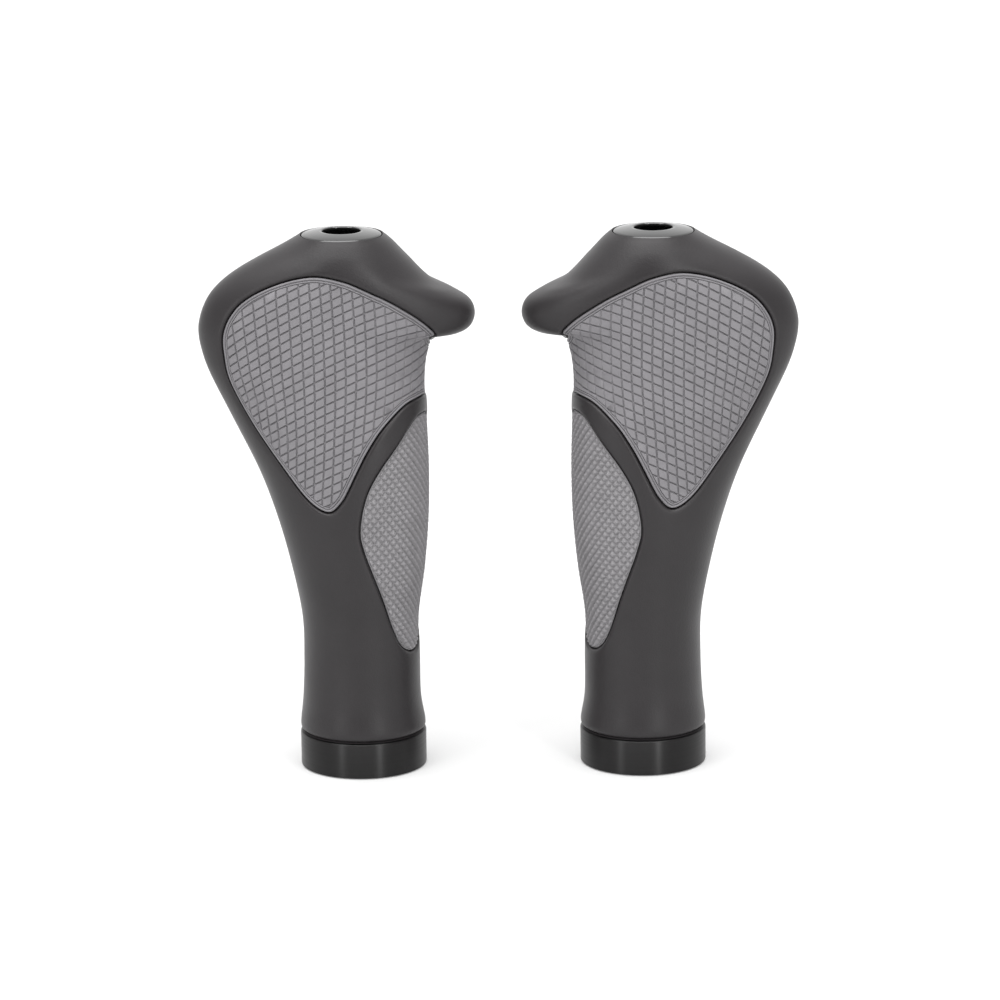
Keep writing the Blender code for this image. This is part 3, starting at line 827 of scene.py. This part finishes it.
def groove_sizes(sizes):
    """Half a groove's width, half its floor's width and the cross grooves' pitch, in millimetres."""
    width = sizes.groove_width / MM
    return width / 2, width * FLOOR_SHARE, sizes.cross_pitch / MM


def groove_lines(sizes):
    """Flat lines along both edges and both floor edges of every palm groove."""
    half, floor, pitch = groove_sizes(sizes)
    low, high = PALM_HEIGHTS
    heights = np.linspace(low, high, 16)
    across = np.linspace(-PALM_REACH, PALM_REACH, 28)
    lines = []
    for offset in (-half, -floor, floor, half):
        for index in LONG_GROOVES:
            lines.append(np.column_stack((long_groove(index, heights) + offset, heights)))
        for index in range(int((low - 30) / pitch), int((high + 30) / pitch)):
            lines.append(np.column_stack((across, cross_rise(across) + index * pitch + offset)))
    return lines


def groove_depth(points, sizes):
    """How far the palm's grooves reach down at flat points, as a share of their depth."""
    half, floor, pitch = groove_sizes(sizes)
    u, z = points.T
    long_way = np.min([abs(u - long_groove(index, z)) for index in LONG_GROOVES], axis=0)
    row = (z - cross_rise(u)) / pitch
    cross_way = abs(row - np.round(row)) * pitch
    long_share, cross_share = (
        np.clip((half - way) / (half - floor), 0, 1) for way in (long_way, cross_way)
    )
    shallower = np.clip(1 - HORN_FADE * (u - 3), 0.5, 1)
    return np.maximum(long_share * shallower * LONG_SHARE, cross_share)


# The finger pad's pyramids: half-diagonals of a base, and the way from a valley up to the top's edge
FINGER_CELL = (1.06, 1.23)
PYRAMID_SLOPE = 0.56
FINGER_MIDDLE = (8.0, 62.0)
FINGER_REACH = 60.0
VALLEYS_EACH_WAY = 32


def pyramid_rows():
    """Distance between the valleys, and the flat normals of their two directions."""
    half_width, half_height = FINGER_CELL
    side = math.hypot(half_width, half_height)
    normals = ((half_height / side, -half_width / side), (half_height / side, half_width / side))
    return 2 * half_width * half_height / side, normals


def pyramid_lines():
    """Straight flat lines along the valleys between the finger pad's pyramids and round their tops."""
    lines = []
    pitch, normals = pyramid_rows()
    middle = Vector(FINGER_MIDDLE)
    for normal in map(Vector, normals):
        run = Vector((-normal.y, normal.x)) * FINGER_REACH
        start = round(middle.dot(normal) / pitch)
        for index in range(start - VALLEYS_EACH_WAY, start + VALLEYS_EACH_WAY + 1):
            for offset in (-PYRAMID_SLOPE, 0.0, PYRAMID_SLOPE):
                foot = middle + normal * (index * pitch + offset - middle.dot(normal))
                lines.append([tuple(foot - run), tuple(foot + run)])
    return lines


def valley_share(points):
    """How far down the pyramids' sides flat points lie: 0 on a top, 1 in a valley."""
    pitch, normals = pyramid_rows()
    shares = []
    for normal in normals:
        row = points @ np.array(normal) / pitch
        shares.append(np.clip(1 - abs(row - np.round(row)) * pitch / PYRAMID_SLOPE, 0, 1))
    shares[0] *= np.clip(1 - HORN_FADE * (points[:, 0] - 6), 0.35, 0.85)
    return np.maximum(*shares)


def build_pad(name, outline, rim, face_depth, lines, share_at, relief):
    """A soft inlay: back, side wall, rim and a patterned face, all following the skin."""
    pad = SkinMesh()
    outer = flat_outline(outline)
    loops = [pad.sink_flat(inset(outer, distance), depth) for distance, depth in rim]
    for lower, upper in zip(loops, loops[1:]):
        pad.bridge(lower, upper)
    rim_width, rim_depth = rim[-1]
    edge = inset(outer, rim_width)
    shoulder = inset(outer, rim_width + SHOULDER)
    steps = [step for line in lines for step in zip(line, line[1:])]
    stretches = [stretch for step in steps for stretch in clipped(*step, edge)]
    points, faces, _ = filled(edge, [closed(shoulder)] + stretches)
    inside = distance_inside(points, edge)
    rise = np.clip(inside / RIM_BLEND, 0, 1)
    depth = face_depth + share_at(points) * relief
    depth = np.maximum(depth, face_depth + (rim_depth - face_depth) * (1 - rise))
    inner = pad.sink_flat(points[len(edge) :], depth[len(edge) :])
    pad.cover(loops[-1] + inner, faces)

    low, high = outer.min(axis=0), outer.max(axis=0)
    columns, rows = (np.arange(*span, BACK_SPACING) for span in zip(low, high))
    lattice = np.array([(u, z) for u in columns for z in rows])
    lattice = lattice[distance_inside(lattice, outer) > BACK_MARGIN]
    points, faces, _ = filled(outer, [[point] for point in lattice])
    back = pad.sink_flat(points[len(outer) :], rim[0][1])
    pad.cover(loops[0] + back, faces)
    return pad.object(name)


# ---------------------------------------------------------------- the hard pieces

RING_HEIGHT = 9.0
RING_CHAMFER = 0.4
BOSS_RADIUS = 19.5
# The boss's flanks, from their foot up: (half angle in degrees, share of the boss's height)
BOSS_STEPS = ((31.5, 0.12), (29.0, 0.6), (26.5, 1.0))
SLIT_HALF_WIDTH = 1.0
SCREW_Y = 15.9
SCREW_Z = 4.5
SCREW_HEAD_X = (-8.3, -4.3)
SCREW_TIP_X = 7.0
SCREW_CLEARANCE = 2.3
SCREW_SEAT = 3.8
CORE_INNER = 11.2
CORE_OUTER = 12.2
CORE_BOTTOM = 0.5
CORE_TOP = 124.0
WALL_Z = 120.7
PILOT_RADIUS = 8.5
PILOT_Z = 121.5
SLOT_TOP = 8.6
STUB_Z = 119.0
STUB_RADIUS = 3.1
STUB_ENDS = (11.7, 21.9)
SOCKET_RADIUS = 3.5
SOCKET_ENDS = (11.0, 22.3)
BOLT_HOLE = 2.8
PLUG_RADIUS = 8.3
PLUG_SLANT = 35.0
# The bezel's outline, from the foot of its outer side over the rim to the foot of its inside: (radius, z)
BEZEL_FOOT = BORE_TOP + 0.9
BEZEL_PROFILE = [
    (10.2, BEZEL_FOOT), (10.2, 138.6), (10.14, 138.86), (9.95, 139.06), (9.6, 139.2), (7.6, 139.58),
    (5.9, 139.86), (5.45, 139.9), (5.1, 139.84), (4.94, 139.68), (4.9, 139.45), (4.95, 139.2),
    (8.6, 136.2), (8.6, BEZEL_FOOT), (10.2, BEZEL_FOOT),
]


def build_clamp_ring():
    """The split ring with its boss, drawn up from a flat ring and bored for its screw."""
    ring = start_piece(
        "clamp_ring",
        bpy.ops.mesh.primitive_circle_add,
        (0, 0, 0),
        radius=BORE_RADIUS * MM,
        vertices=144,
        fill_type="NOTHING",
    )

    def widen(share):
        bpy.ops.transform.resize(value=(share, share, 1), center_override=GRIP_AXIS)

    def on_flank(at, vert):
        off_back = abs(math.degrees(math.atan2(at.x, at.y)))
        return math.hypot(at.x, at.y) > BORE_RADIUS + 1 and off_back < half_angle

    def on_rim(at, edge):
        level = at.z < 0.01 or at.z > RING_HEIGHT - 0.01
        return level and len(edge.link_faces) == 2 and edge.calc_face_angle() > 1.0

    pick(ring, "EDGE", lambda at, edge: True)
    bpy.ops.mesh.extrude_edges_move()
    widen(RING_RADIUS / BORE_RADIUS)
    reached = RING_RADIUS
    for half_angle, part in BOSS_STEPS:
        pick(ring, "VERT", on_flank)
        radius = RING_RADIUS + (BOSS_RADIUS - RING_RADIUS) * part
        widen(radius / reached)
        reached = radius
    for x in (-SLIT_HALF_WIDTH, SLIT_HALF_WIDTH):
        pick(ring, "FACE", lambda at, face: at.y > 0 and abs(at.x) < 4)
        bpy.ops.mesh.bisect(plane_co=((AXIS_X + x) * MM, 0, 0), plane_no=(1, 0, 0))
    pick(ring, "FACE", lambda at, face: at.y > 0 and abs(at.x) < SLIT_HALF_WIDTH)
    bpy.ops.mesh.delete(type="FACE")
    pick(ring, "FACE", lambda at, face: True)
    bpy.ops.mesh.extrude_region_move(TRANSFORM_OT_translate={"value": (0, 0, RING_HEIGHT * MM)})
    bpy.ops.mesh.select_all(action="SELECT")
    bpy.ops.mesh.remove_doubles(threshold=MERGE)
    bpy.ops.mesh.normals_make_consistent(inside=False)
    pick(ring, "EDGE", on_rim)
    bpy.ops.mesh.bevel(offset=RING_CHAMFER * MM, segments=3, profile=0.5, affect="EDGES")
    end_piece(ring)
    carve(ring, rod_tool(-BOSS_RADIUS, BOSS_RADIUS, SCREW_Y, SCREW_Z, SCREW_CLEARANCE))
    carve(ring, rod_tool(-BOSS_RADIUS, SCREW_HEAD_X[1] + 0.3, SCREW_Y, SCREW_Z, SCREW_SEAT))
    return end_piece(ring, 25)


THREAD_DEPTH = 0.28
CREST = (0.42, 0.58)  # where a thread's crest starts and ends, as shares of its pitch
KNURL_SHARE = 0.965


def screw_profile(head_radius, head_length, shank_radius, length, pitch, thread_length):
    """(radius, z) from a cap screw's tip, at minus its length, up to the top of its head."""
    start = 0.4 - length
    root = shank_radius - THREAD_DEPTH
    profile = [(shank_radius - 0.5, -length), (root, 0.25 - length)]
    turns = int((thread_length - 0.5) / pitch)
    for z in (start + turn * pitch for turn in range(turns)):
        profile += [(root, z), *((shank_radius, z + share * pitch) for share in CREST)]
    end = start + turns * pitch
    profile += [(root, end), (shank_radius, end + 0.3), (shank_radius, -0.15)]
    profile += [(shank_radius + 0.15, 0.0), (head_radius - 0.1, 0.0), (head_radius, 0.1)]
    profile += [(head_radius, head_length - 0.45), (head_radius - 0.12, head_length - 0.16)]
    return profile + [(head_radius - 0.4, head_length), (head_radius - 1.0, head_length)]


def build_screw(name, centre_x, head_radius, head_length, shank_radius, length, pitch, key, at_z):
    """A cap screw, upright, head up, with a knurled head, a hexagonal key hole and a threaded tip."""
    profile = screw_profile(head_radius, head_length, shank_radius, length, pitch, length * 0.6)
    screw = turned(name, [(radius, at_z + z) for radius, z in profile], centre_x, 72)

    def on_knurl(at, vert):
        """Every second line of points up the head's side."""
        line = math.degrees(math.atan2(at.y, at.x - centre_x)) / 5
        on_side = abs(math.hypot(at.x - centre_x, at.y) - head_radius) < 0.05
        return on_side and at_z < at.z < at_z + head_length - 0.3 and round(line) % 2 == 0

    open_piece(screw)
    pick(screw, "VERT", on_knurl)
    centre = GRIP_AXIS + Vector((centre_x, 0, at_z)) * MM
    bpy.ops.transform.resize(value=(KNURL_SHARE, KNURL_SHARE, 1), center_override=centre)
    end_piece(screw, 40)
    corner = key / 2 / math.cos(math.pi / 6)
    carve(screw, cylinder_tool((centre_x, 0, at_z + head_length), corner, head_length * 1.1, sides=6))
    return end_piece(screw, 30)


def build_clamp_screw():
    """The clamp's screw, modelled upright and then laid across the boss."""
    start, seat = SCREW_HEAD_X
    screw = build_screw("clamp_screw", 0.0, 3.5, seat - start, 2.0, SCREW_TIP_X - seat, 0.7, 3.0, 0.0)
    place = GRIP_AXIS + Vector((seat, SCREW_Y, SCREW_Z)) * MM
    lay = Matrix.Rotation(math.radians(-90), 4, "Y")
    screw.data.transform(Matrix.Translation(place) @ lay @ Matrix.Translation(-GRIP_AXIS))
    return screw


def build_bezel():
    """The polished end ring with its rounded lip and hollow inside."""
    return turned("end_bezel", BEZEL_PROFILE, BOLT_X, 128)


def shift_bore(obj):
    """Moves a turned piece's bolt hole from its own axis over to the bolt's."""
    open_piece(obj)
    pick(obj, "VERT", lambda at, vert: math.hypot(at.x, at.y) < BOLT_HOLE + 0.45)
    bpy.ops.transform.translate(value=(BOLT_X * MM, 0, 0))
    bpy.ops.object.mode_set(mode="OBJECT")


def build_core():
    """The hard sleeve: tube, end wall with its pilot step, slotted spigot and the stub inside the horn."""
    corners = ((CORE_OUTER, CORE_BOTTOM), (CORE_OUTER, CORE_TOP), (BOLT_HOLE, CORE_TOP))
    corners += ((BOLT_HOLE, WALL_Z), (PILOT_RADIUS, WALL_Z), (PILOT_RADIUS, PILOT_Z))
    corners += ((CORE_INNER, PILOT_Z), (CORE_INNER, CORE_BOTTOM))
    core = turned("core_sleeve", rounded(corners, 0.3))
    shift_bore(core)
    reach = CORE_OUTER + 1
    for x, y in ((reach, 1), (1, reach)):
        carve(core, box_tool((-x, -y, -1), (x, y, SLOT_TOP)))
    carve(core, rod_tool(*STUB_ENDS, 0, STUB_Z, STUB_RADIUS), "UNION")
    return end_piece(core)


def build_plug_half(name, bottom, top, slant_z, away):
    """One half of the wedge plug: a bored cylinder, cut off on the slant above (1) or below (-1) a height."""
    corners = ((PLUG_RADIUS, bottom), (PLUG_RADIUS, top), (BOLT_HOLE, top), (BOLT_HOLE, bottom))
    half = turned(name, rounded(corners, 0.35))
    shift_bore(half)
    reach = 20.0
    tool = box_tool((-reach, -reach, (away - 1) * reach), (reach, reach, (away + 1) * reach))
    tilt = Matrix.Rotation(math.radians(-PLUG_SLANT), 4, "Y")
    lift = Matrix.Translation(GRIP_AXIS + Vector((0, 0, slant_z * MM)))
    tool.data.transform(lift @ tilt @ Matrix.Translation(-GRIP_AXIS))
    carve(half, tool)
    return end_piece(half)


def build_washer():
    low, high = CORE_TOP + 0.3, CORE_TOP + 1.3
    corners = ((5.0, low), (5.0, high), (BOLT_HOLE, high), (BOLT_HOLE, low))
    return turned("expander_washer", rounded(corners, 0.15), BOLT_X, 64)


# ---------------------------------------------------------------- what a user may change


def colour_property(name, text, value):
    return FloatVectorProperty(
        name=name, description=text, subtype="COLOR", size=3, min=0, max=1, default=value
    )


def number_property(name, text, value, low, high, **more):
    return FloatProperty(name=name, description=text, default=value, min=low, max=high, **more)


def length_property(name, text, value, low, high):
    """A length given here in millimetres and kept in metres."""
    return number_property(name, text, value * MM, low * MM, high * MM, unit="LENGTH", precision=5)


class GripSizes(bpy.types.PropertyGroup):
    """Sizes of the patterns on the pads."""

    groove_width: length_property("Groove width", "Width of the palm pads' grooves", 0.55, 0.2, 0.9)
    groove_depth: length_property("Groove depth", "Depth of the palm pads' grooves", 0.5, 0.1, 0.8)
    cross_pitch: length_property("Cross pitch", "Height between the slanting grooves", 2.36, 1.5, 5)
    pyramid_height: length_property("Pyramid height", "Height of the finger pads' pyramids", 0.62, 0.1, 0.8)


class GripColours(bpy.types.PropertyGroup):
    """Colours of the materials."""

    rubber: colour_property("Rubber", "Colour of the moulded body", (0.0195, 0.0175, 0.0186))
    palm_pad: colour_property("Palm pads", "Colour of the larger inlays", (0.178, 0.172, 0.181))
    # The finger pads are the same material as the palm pads. Their colour is set lighter as painted light, to
    # make up for the shade in the valleys between their pyramids.
    finger_pad: colour_property("Finger pads", "Colour of the smaller inlays", (0.205, 0.199, 0.206))
    ring: colour_property("Clamp ring", "Colour of the anodised clamp ring", (0.006, 0.0055, 0.0057))
    bezel: colour_property("Bezel", "Colour of the polished end ring", (0.012, 0.012, 0.012))
    nylon: colour_property("Core", "Colour of the core sleeve", (0.012, 0.012, 0.0125))
    steel: colour_property("Screws", "Colour of the plated screws and washer", (0.45, 0.45, 0.46))
    alloy: colour_property("Plug", "Colour of the wedge plug", (0.62, 0.62, 0.63))


class GripStage(bpy.types.PropertyGroup):
    """Lights and floor."""

    surround: number_property("Surround", "Brightness of the white room", 1.0, 0, 5)
    front: number_property("Front", "Brightness behind the camera, as a share of the room's", 0.12, 0, 1)
    overhead: number_property("Overhead", "Strength of the soft light above", 4.4, 0, 50)
    softness: number_property("Softness", "Spread of the light above", 1.2, 0, 3, subtype="ANGLE")
    strips: number_property("Strips", "Power of each upright strip light", 2.0, 0, 50, unit="POWER")
    glow: number_property("Floor glow", "Light that the floor gives from below", 0.2, 0, 2)
    floor: colour_property("Floor", "Colour of the floor", (0.45, 0.45, 0.45))


# ---------------------------------------------------------------- operators


class GRIPS_OT_bodies(bpy.types.Operator):
    """Build both rubber grip bodies"""

    bl_idname = "grips.bodies"
    bl_label = "Grip Bodies"
    bl_options = {"REGISTER", "UNDO"}

    def execute(self, context):
        body = build_body()
        carve(body, rod_tool(*SOCKET_ENDS, 0, STUB_Z, SOCKET_RADIUS))
        end_piece(body, 35)
        finish = rubber_finish(context.scene.grip_colours.rubber)
        deliver(body, "grip_body", ROOT_BODY, finish)
        return {"FINISHED"}


class GRIPS_OT_palm_pads(bpy.types.Operator):
    """Build both palm pads with their crossed grooves"""

    bl_idname = "grips.palm_pads"
    bl_label = "Palm Pads"
    bl_options = {"REGISTER", "UNDO"}

    def execute(self, context):
        sizes = context.scene.grip_sizes
        lines, share_at = groove_lines(sizes), lambda points: groove_depth(points, sizes)
        depth = sizes.groove_depth / MM
        pad = build_pad("palm_pad", PALM_OUTLINE, PALM_RIM, PALM_FACE, lines, share_at, depth)
        end_piece(pad, 40)
        finish = pad_finish("palm_inlay", context.scene.grip_colours.palm_pad)
        deliver(pad, "palm_pad", ROOT_BODY, finish)
        return {"FINISHED"}


class GRIPS_OT_finger_pads(bpy.types.Operator):
    """Build both finger pads with their small pyramids"""

    bl_idname = "grips.finger_pads"
    bl_label = "Finger Pads"
    bl_options = {"REGISTER", "UNDO"}

    def execute(self, context):
        height = context.scene.grip_sizes.pyramid_height / MM
        shape = FINGER_OUTLINE, FINGER_RIM, FINGER_FACE
        pad = build_pad("finger_pad", *shape, pyramid_lines(), valley_share, height)
        end_piece(pad, 30)
        # A lighter copy of the palm pads' finish: painted light against the shade of the pyramids' valleys.
        finish = pad_finish("finger_inlay_painted_light", context.scene.grip_colours.finger_pad)
        deliver(pad, "finger_pad", ROOT_BODY, finish)
        return {"FINISHED"}


class GRIPS_OT_core_sleeves(bpy.types.Operator):
    """Build both core sleeves"""

    bl_idname = "grips.core_sleeves"
    bl_label = "Core Sleeves"
    bl_options = {"REGISTER", "UNDO"}

    def execute(self, context):
        finish = nylon_finish(context.scene.grip_colours.nylon)
        deliver(build_core(), "core_sleeve", ROOT_BODY, finish)
        return {"FINISHED"}


class GRIPS_OT_clamps(bpy.types.Operator):
    """Build both clamp rings and their screws"""

    bl_idname = "grips.clamps"
    bl_label = "Clamp Rings and Screws"
    bl_options = {"REGISTER", "UNDO"}

    def execute(self, context):
        colours = context.scene.grip_colours
        ring = build_clamp_ring()
        deliver(ring, "clamp_ring", "{side}_clamp_ring", anodised_finish(colours.ring))
        screw = build_clamp_screw()
        deliver(screw, "clamp_screw", "{side}_clamp_screw", steel_finish(colours.steel))
        return {"FINISHED"}


class GRIPS_OT_bezels(bpy.types.Operator):
    """Build both polished end bezels"""

    bl_idname = "grips.bezels"
    bl_label = "End Bezels"
    bl_options = {"REGISTER", "UNDO"}

    def execute(self, context):
        finish = gloss_finish(context.scene.grip_colours.bezel)
        deliver(build_bezel(), "end_bezel", ROOT_BODY, finish)
        return {"FINISHED"}


class GRIPS_OT_plugs(bpy.types.Operator):
    """Build both wedge plugs with their bolts and washers"""

    bl_idname = "grips.plugs"
    bl_label = "Wedge Plugs"
    bl_options = {"REGISTER", "UNDO"}

    def execute(self, context):
        steel = steel_finish(context.scene.grip_colours.steel)
        alloy = alloy_finish(context.scene.grip_colours.alloy)
        deliver(build_washer(), "expander_washer", ROOT_BODY, steel)
        bolt = build_screw("expander_bolt", BOLT_X, 4.25, 5.0, 2.5, 35.0, 0.8, 4.0, CORE_TOP + 1.6)
        deliver(bolt, "expander_bolt", "{side}_expander_bolt", steel)
        collar = build_plug_half("expander_collar", 98.0, 120.4, 106.3, -1)
        deliver(collar, "expander_collar", ROOT_BODY, alloy)
        wedge = build_plug_half("expander_wedge", 88.0, 114.0, 106.0, 1)
        deliver(wedge, "expander_wedge", "{side}_expander_wedge", alloy)
        return {"FINISHED"}


class GRIPS_OT_stage(bpy.types.Operator):
    """Lay the floor and set the lights and the camera"""

    bl_idname = "grips.stage"
    bl_label = "Stage"
    bl_options = {"REGISTER", "UNDO"}

    def execute(self, context):
        build_stage(context.scene)
        return {"FINISHED"}


# The room brightens towards the back and the top: how much height counts beside depth, where it starts and
# stops to brighten, and how bright the brightest side is beside the room's setting
ROOM_LIFT = 0.9
ROOM_SPAN = (-0.8, 1.2)
ROOM_BRIGHTEST = 1.25
OVERHEAD_TURN = (math.radians(14), math.radians(-4), 0)
STRIPS = (("strip_left", (-0.62, -0.70, 0.36), 1.0), ("strip_right", (0.46, -0.84, 0.36), 1.6))
STRIP_AIM = Vector((0, 0, 0.03))
CAMERA_PLACE = (-0.00014, -1.30164, 0.395)
CAMERA_PITCH = 14.07
CAMERA_ROLL = 0.7
FOCAL_LENGTH = 188.64


def build_surround(settings):
    """A white room, dim behind the camera and bright above and behind the grips."""
    world = bpy.data.worlds.new("surround")
    world.use_nodes = True
    room = Nodes(world.node_tree)
    _, y, z = room.parts("Generated")
    toward = room.math("ADD", y, room.math("MULTIPLY", z, ROOM_LIFT))
    light = room.ramp(toward, settings.front, ROOM_BRIGHTEST, *ROOM_SPAN)
    background = room.tree.nodes["Background"].inputs
    room.feed(background["Color"], (1, 1, 1, 1))
    room.feed(background["Strength"], room.math("MULTIPLY", light, settings.surround))
    return world


def add_light(name, kind, energy, place, turn, **settings):
    lamp = bpy.data.lights.new(name, kind)
    lamp.energy = energy
    for key, value in settings.items():
        setattr(lamp, key, value)
    light = bpy.data.objects.new(name, lamp)
    light.location, light.rotation_euler = place, turn
    bpy.context.scene.collection.objects.link(light)


def build_stage(scene):
    """The floor, the lights and the camera."""
    settings = scene.grip_stage
    bpy.ops.object.select_all(action="DESELECT")
    bpy.ops.mesh.primitive_plane_add(size=10, location=(0, 0, -0.0002))
    bpy.ops.object.transform_apply(location=True)
    floor = bpy.context.object
    floor.name = "floor"
    paper = Finish("floor_paper", settings.floor, 0.9, specular=0.1)
    paper.relief(paper.noise(1.5, 2.0), 0.02)
    paper.feed(paper.shader["Emission Color"], (1, 1, 1, 1))
    paper.feed(paper.shader["Emission Strength"], settings.glow)
    floor.data.materials.append(paper.material)

    scene.world = build_surround(settings)
    add_light("overhead", "SUN", settings.overhead, (0, 0, 0), OVERHEAD_TURN, angle=settings.softness)
    for name, place, share in STRIPS:
        turn = (STRIP_AIM - Vector(place)).to_track_quat("-Z", "Y").to_euler()
        strip = {"shape": "RECTANGLE", "size": 0.05, "size_y": 0.7}
        add_light(name, "AREA", settings.strips * share, place, turn, **strip)

    lens = bpy.data.cameras.new("camera")
    lens.sensor_width, lens.lens = 36.0, FOCAL_LENGTH
    lens.clip_start, lens.clip_end = 0.05, 50
    camera = bpy.data.objects.new("camera", lens)
    scene.collection.objects.link(camera)
    tilt = Matrix.Rotation(math.radians(90 - CAMERA_PITCH), 4, "X")
    roll = Matrix.Rotation(math.radians(-CAMERA_ROLL), 4, "Z")
    camera.matrix_world = Matrix.Translation(CAMERA_PLACE) @ tilt @ roll
    scene.camera = camera
    scene.view_settings.view_transform = "Standard"


BUILDERS = (
    GRIPS_OT_bodies,
    GRIPS_OT_palm_pads,
    GRIPS_OT_finger_pads,
    GRIPS_OT_core_sleeves,
    GRIPS_OT_clamps,
    GRIPS_OT_bezels,
    GRIPS_OT_plugs,
    GRIPS_OT_stage,
)


class GRIPS_PT_sidebar(bpy.types.Panel):
    """The pieces, their sizes and their colours"""

    bl_idname = "GRIPS_PT_sidebar"
    bl_label = "Bar End Grips"
    bl_space_type = "VIEW_3D"
    bl_region_type = "UI"
    bl_category = "Grips"

    def draw(self, context):
        for group in (context.scene.grip_sizes, context.scene.grip_colours, context.scene.grip_stage):
            box = self.layout.box()
            for name in group.__annotations__:
                box.prop(group, name)
        for builder in BUILDERS:
            self.layout.operator(builder.bl_idname)


GROUPS = {"grip_sizes": GripSizes, "grip_colours": GripColours, "grip_stage": GripStage}


def register():
    for group in (*GROUPS.values(), *BUILDERS, GRIPS_PT_sidebar):
        bpy.utils.register_class(group)
    for name, group in GROUPS.items():
        setattr(bpy.types.Scene, name, PointerProperty(type=group))


def unregister():
    for name in GROUPS:
        delattr(bpy.types.Scene, name)
    for group in (GRIPS_PT_sidebar, *reversed(BUILDERS), *GROUPS.values()):
        bpy.utils.unregister_class(group)


def main():
    register()
    for builder in BUILDERS:
        family, name = builder.bl_idname.split(".")
        getattr(getattr(bpy.ops, family), name)()


if __name__ == "__main__":
    main()
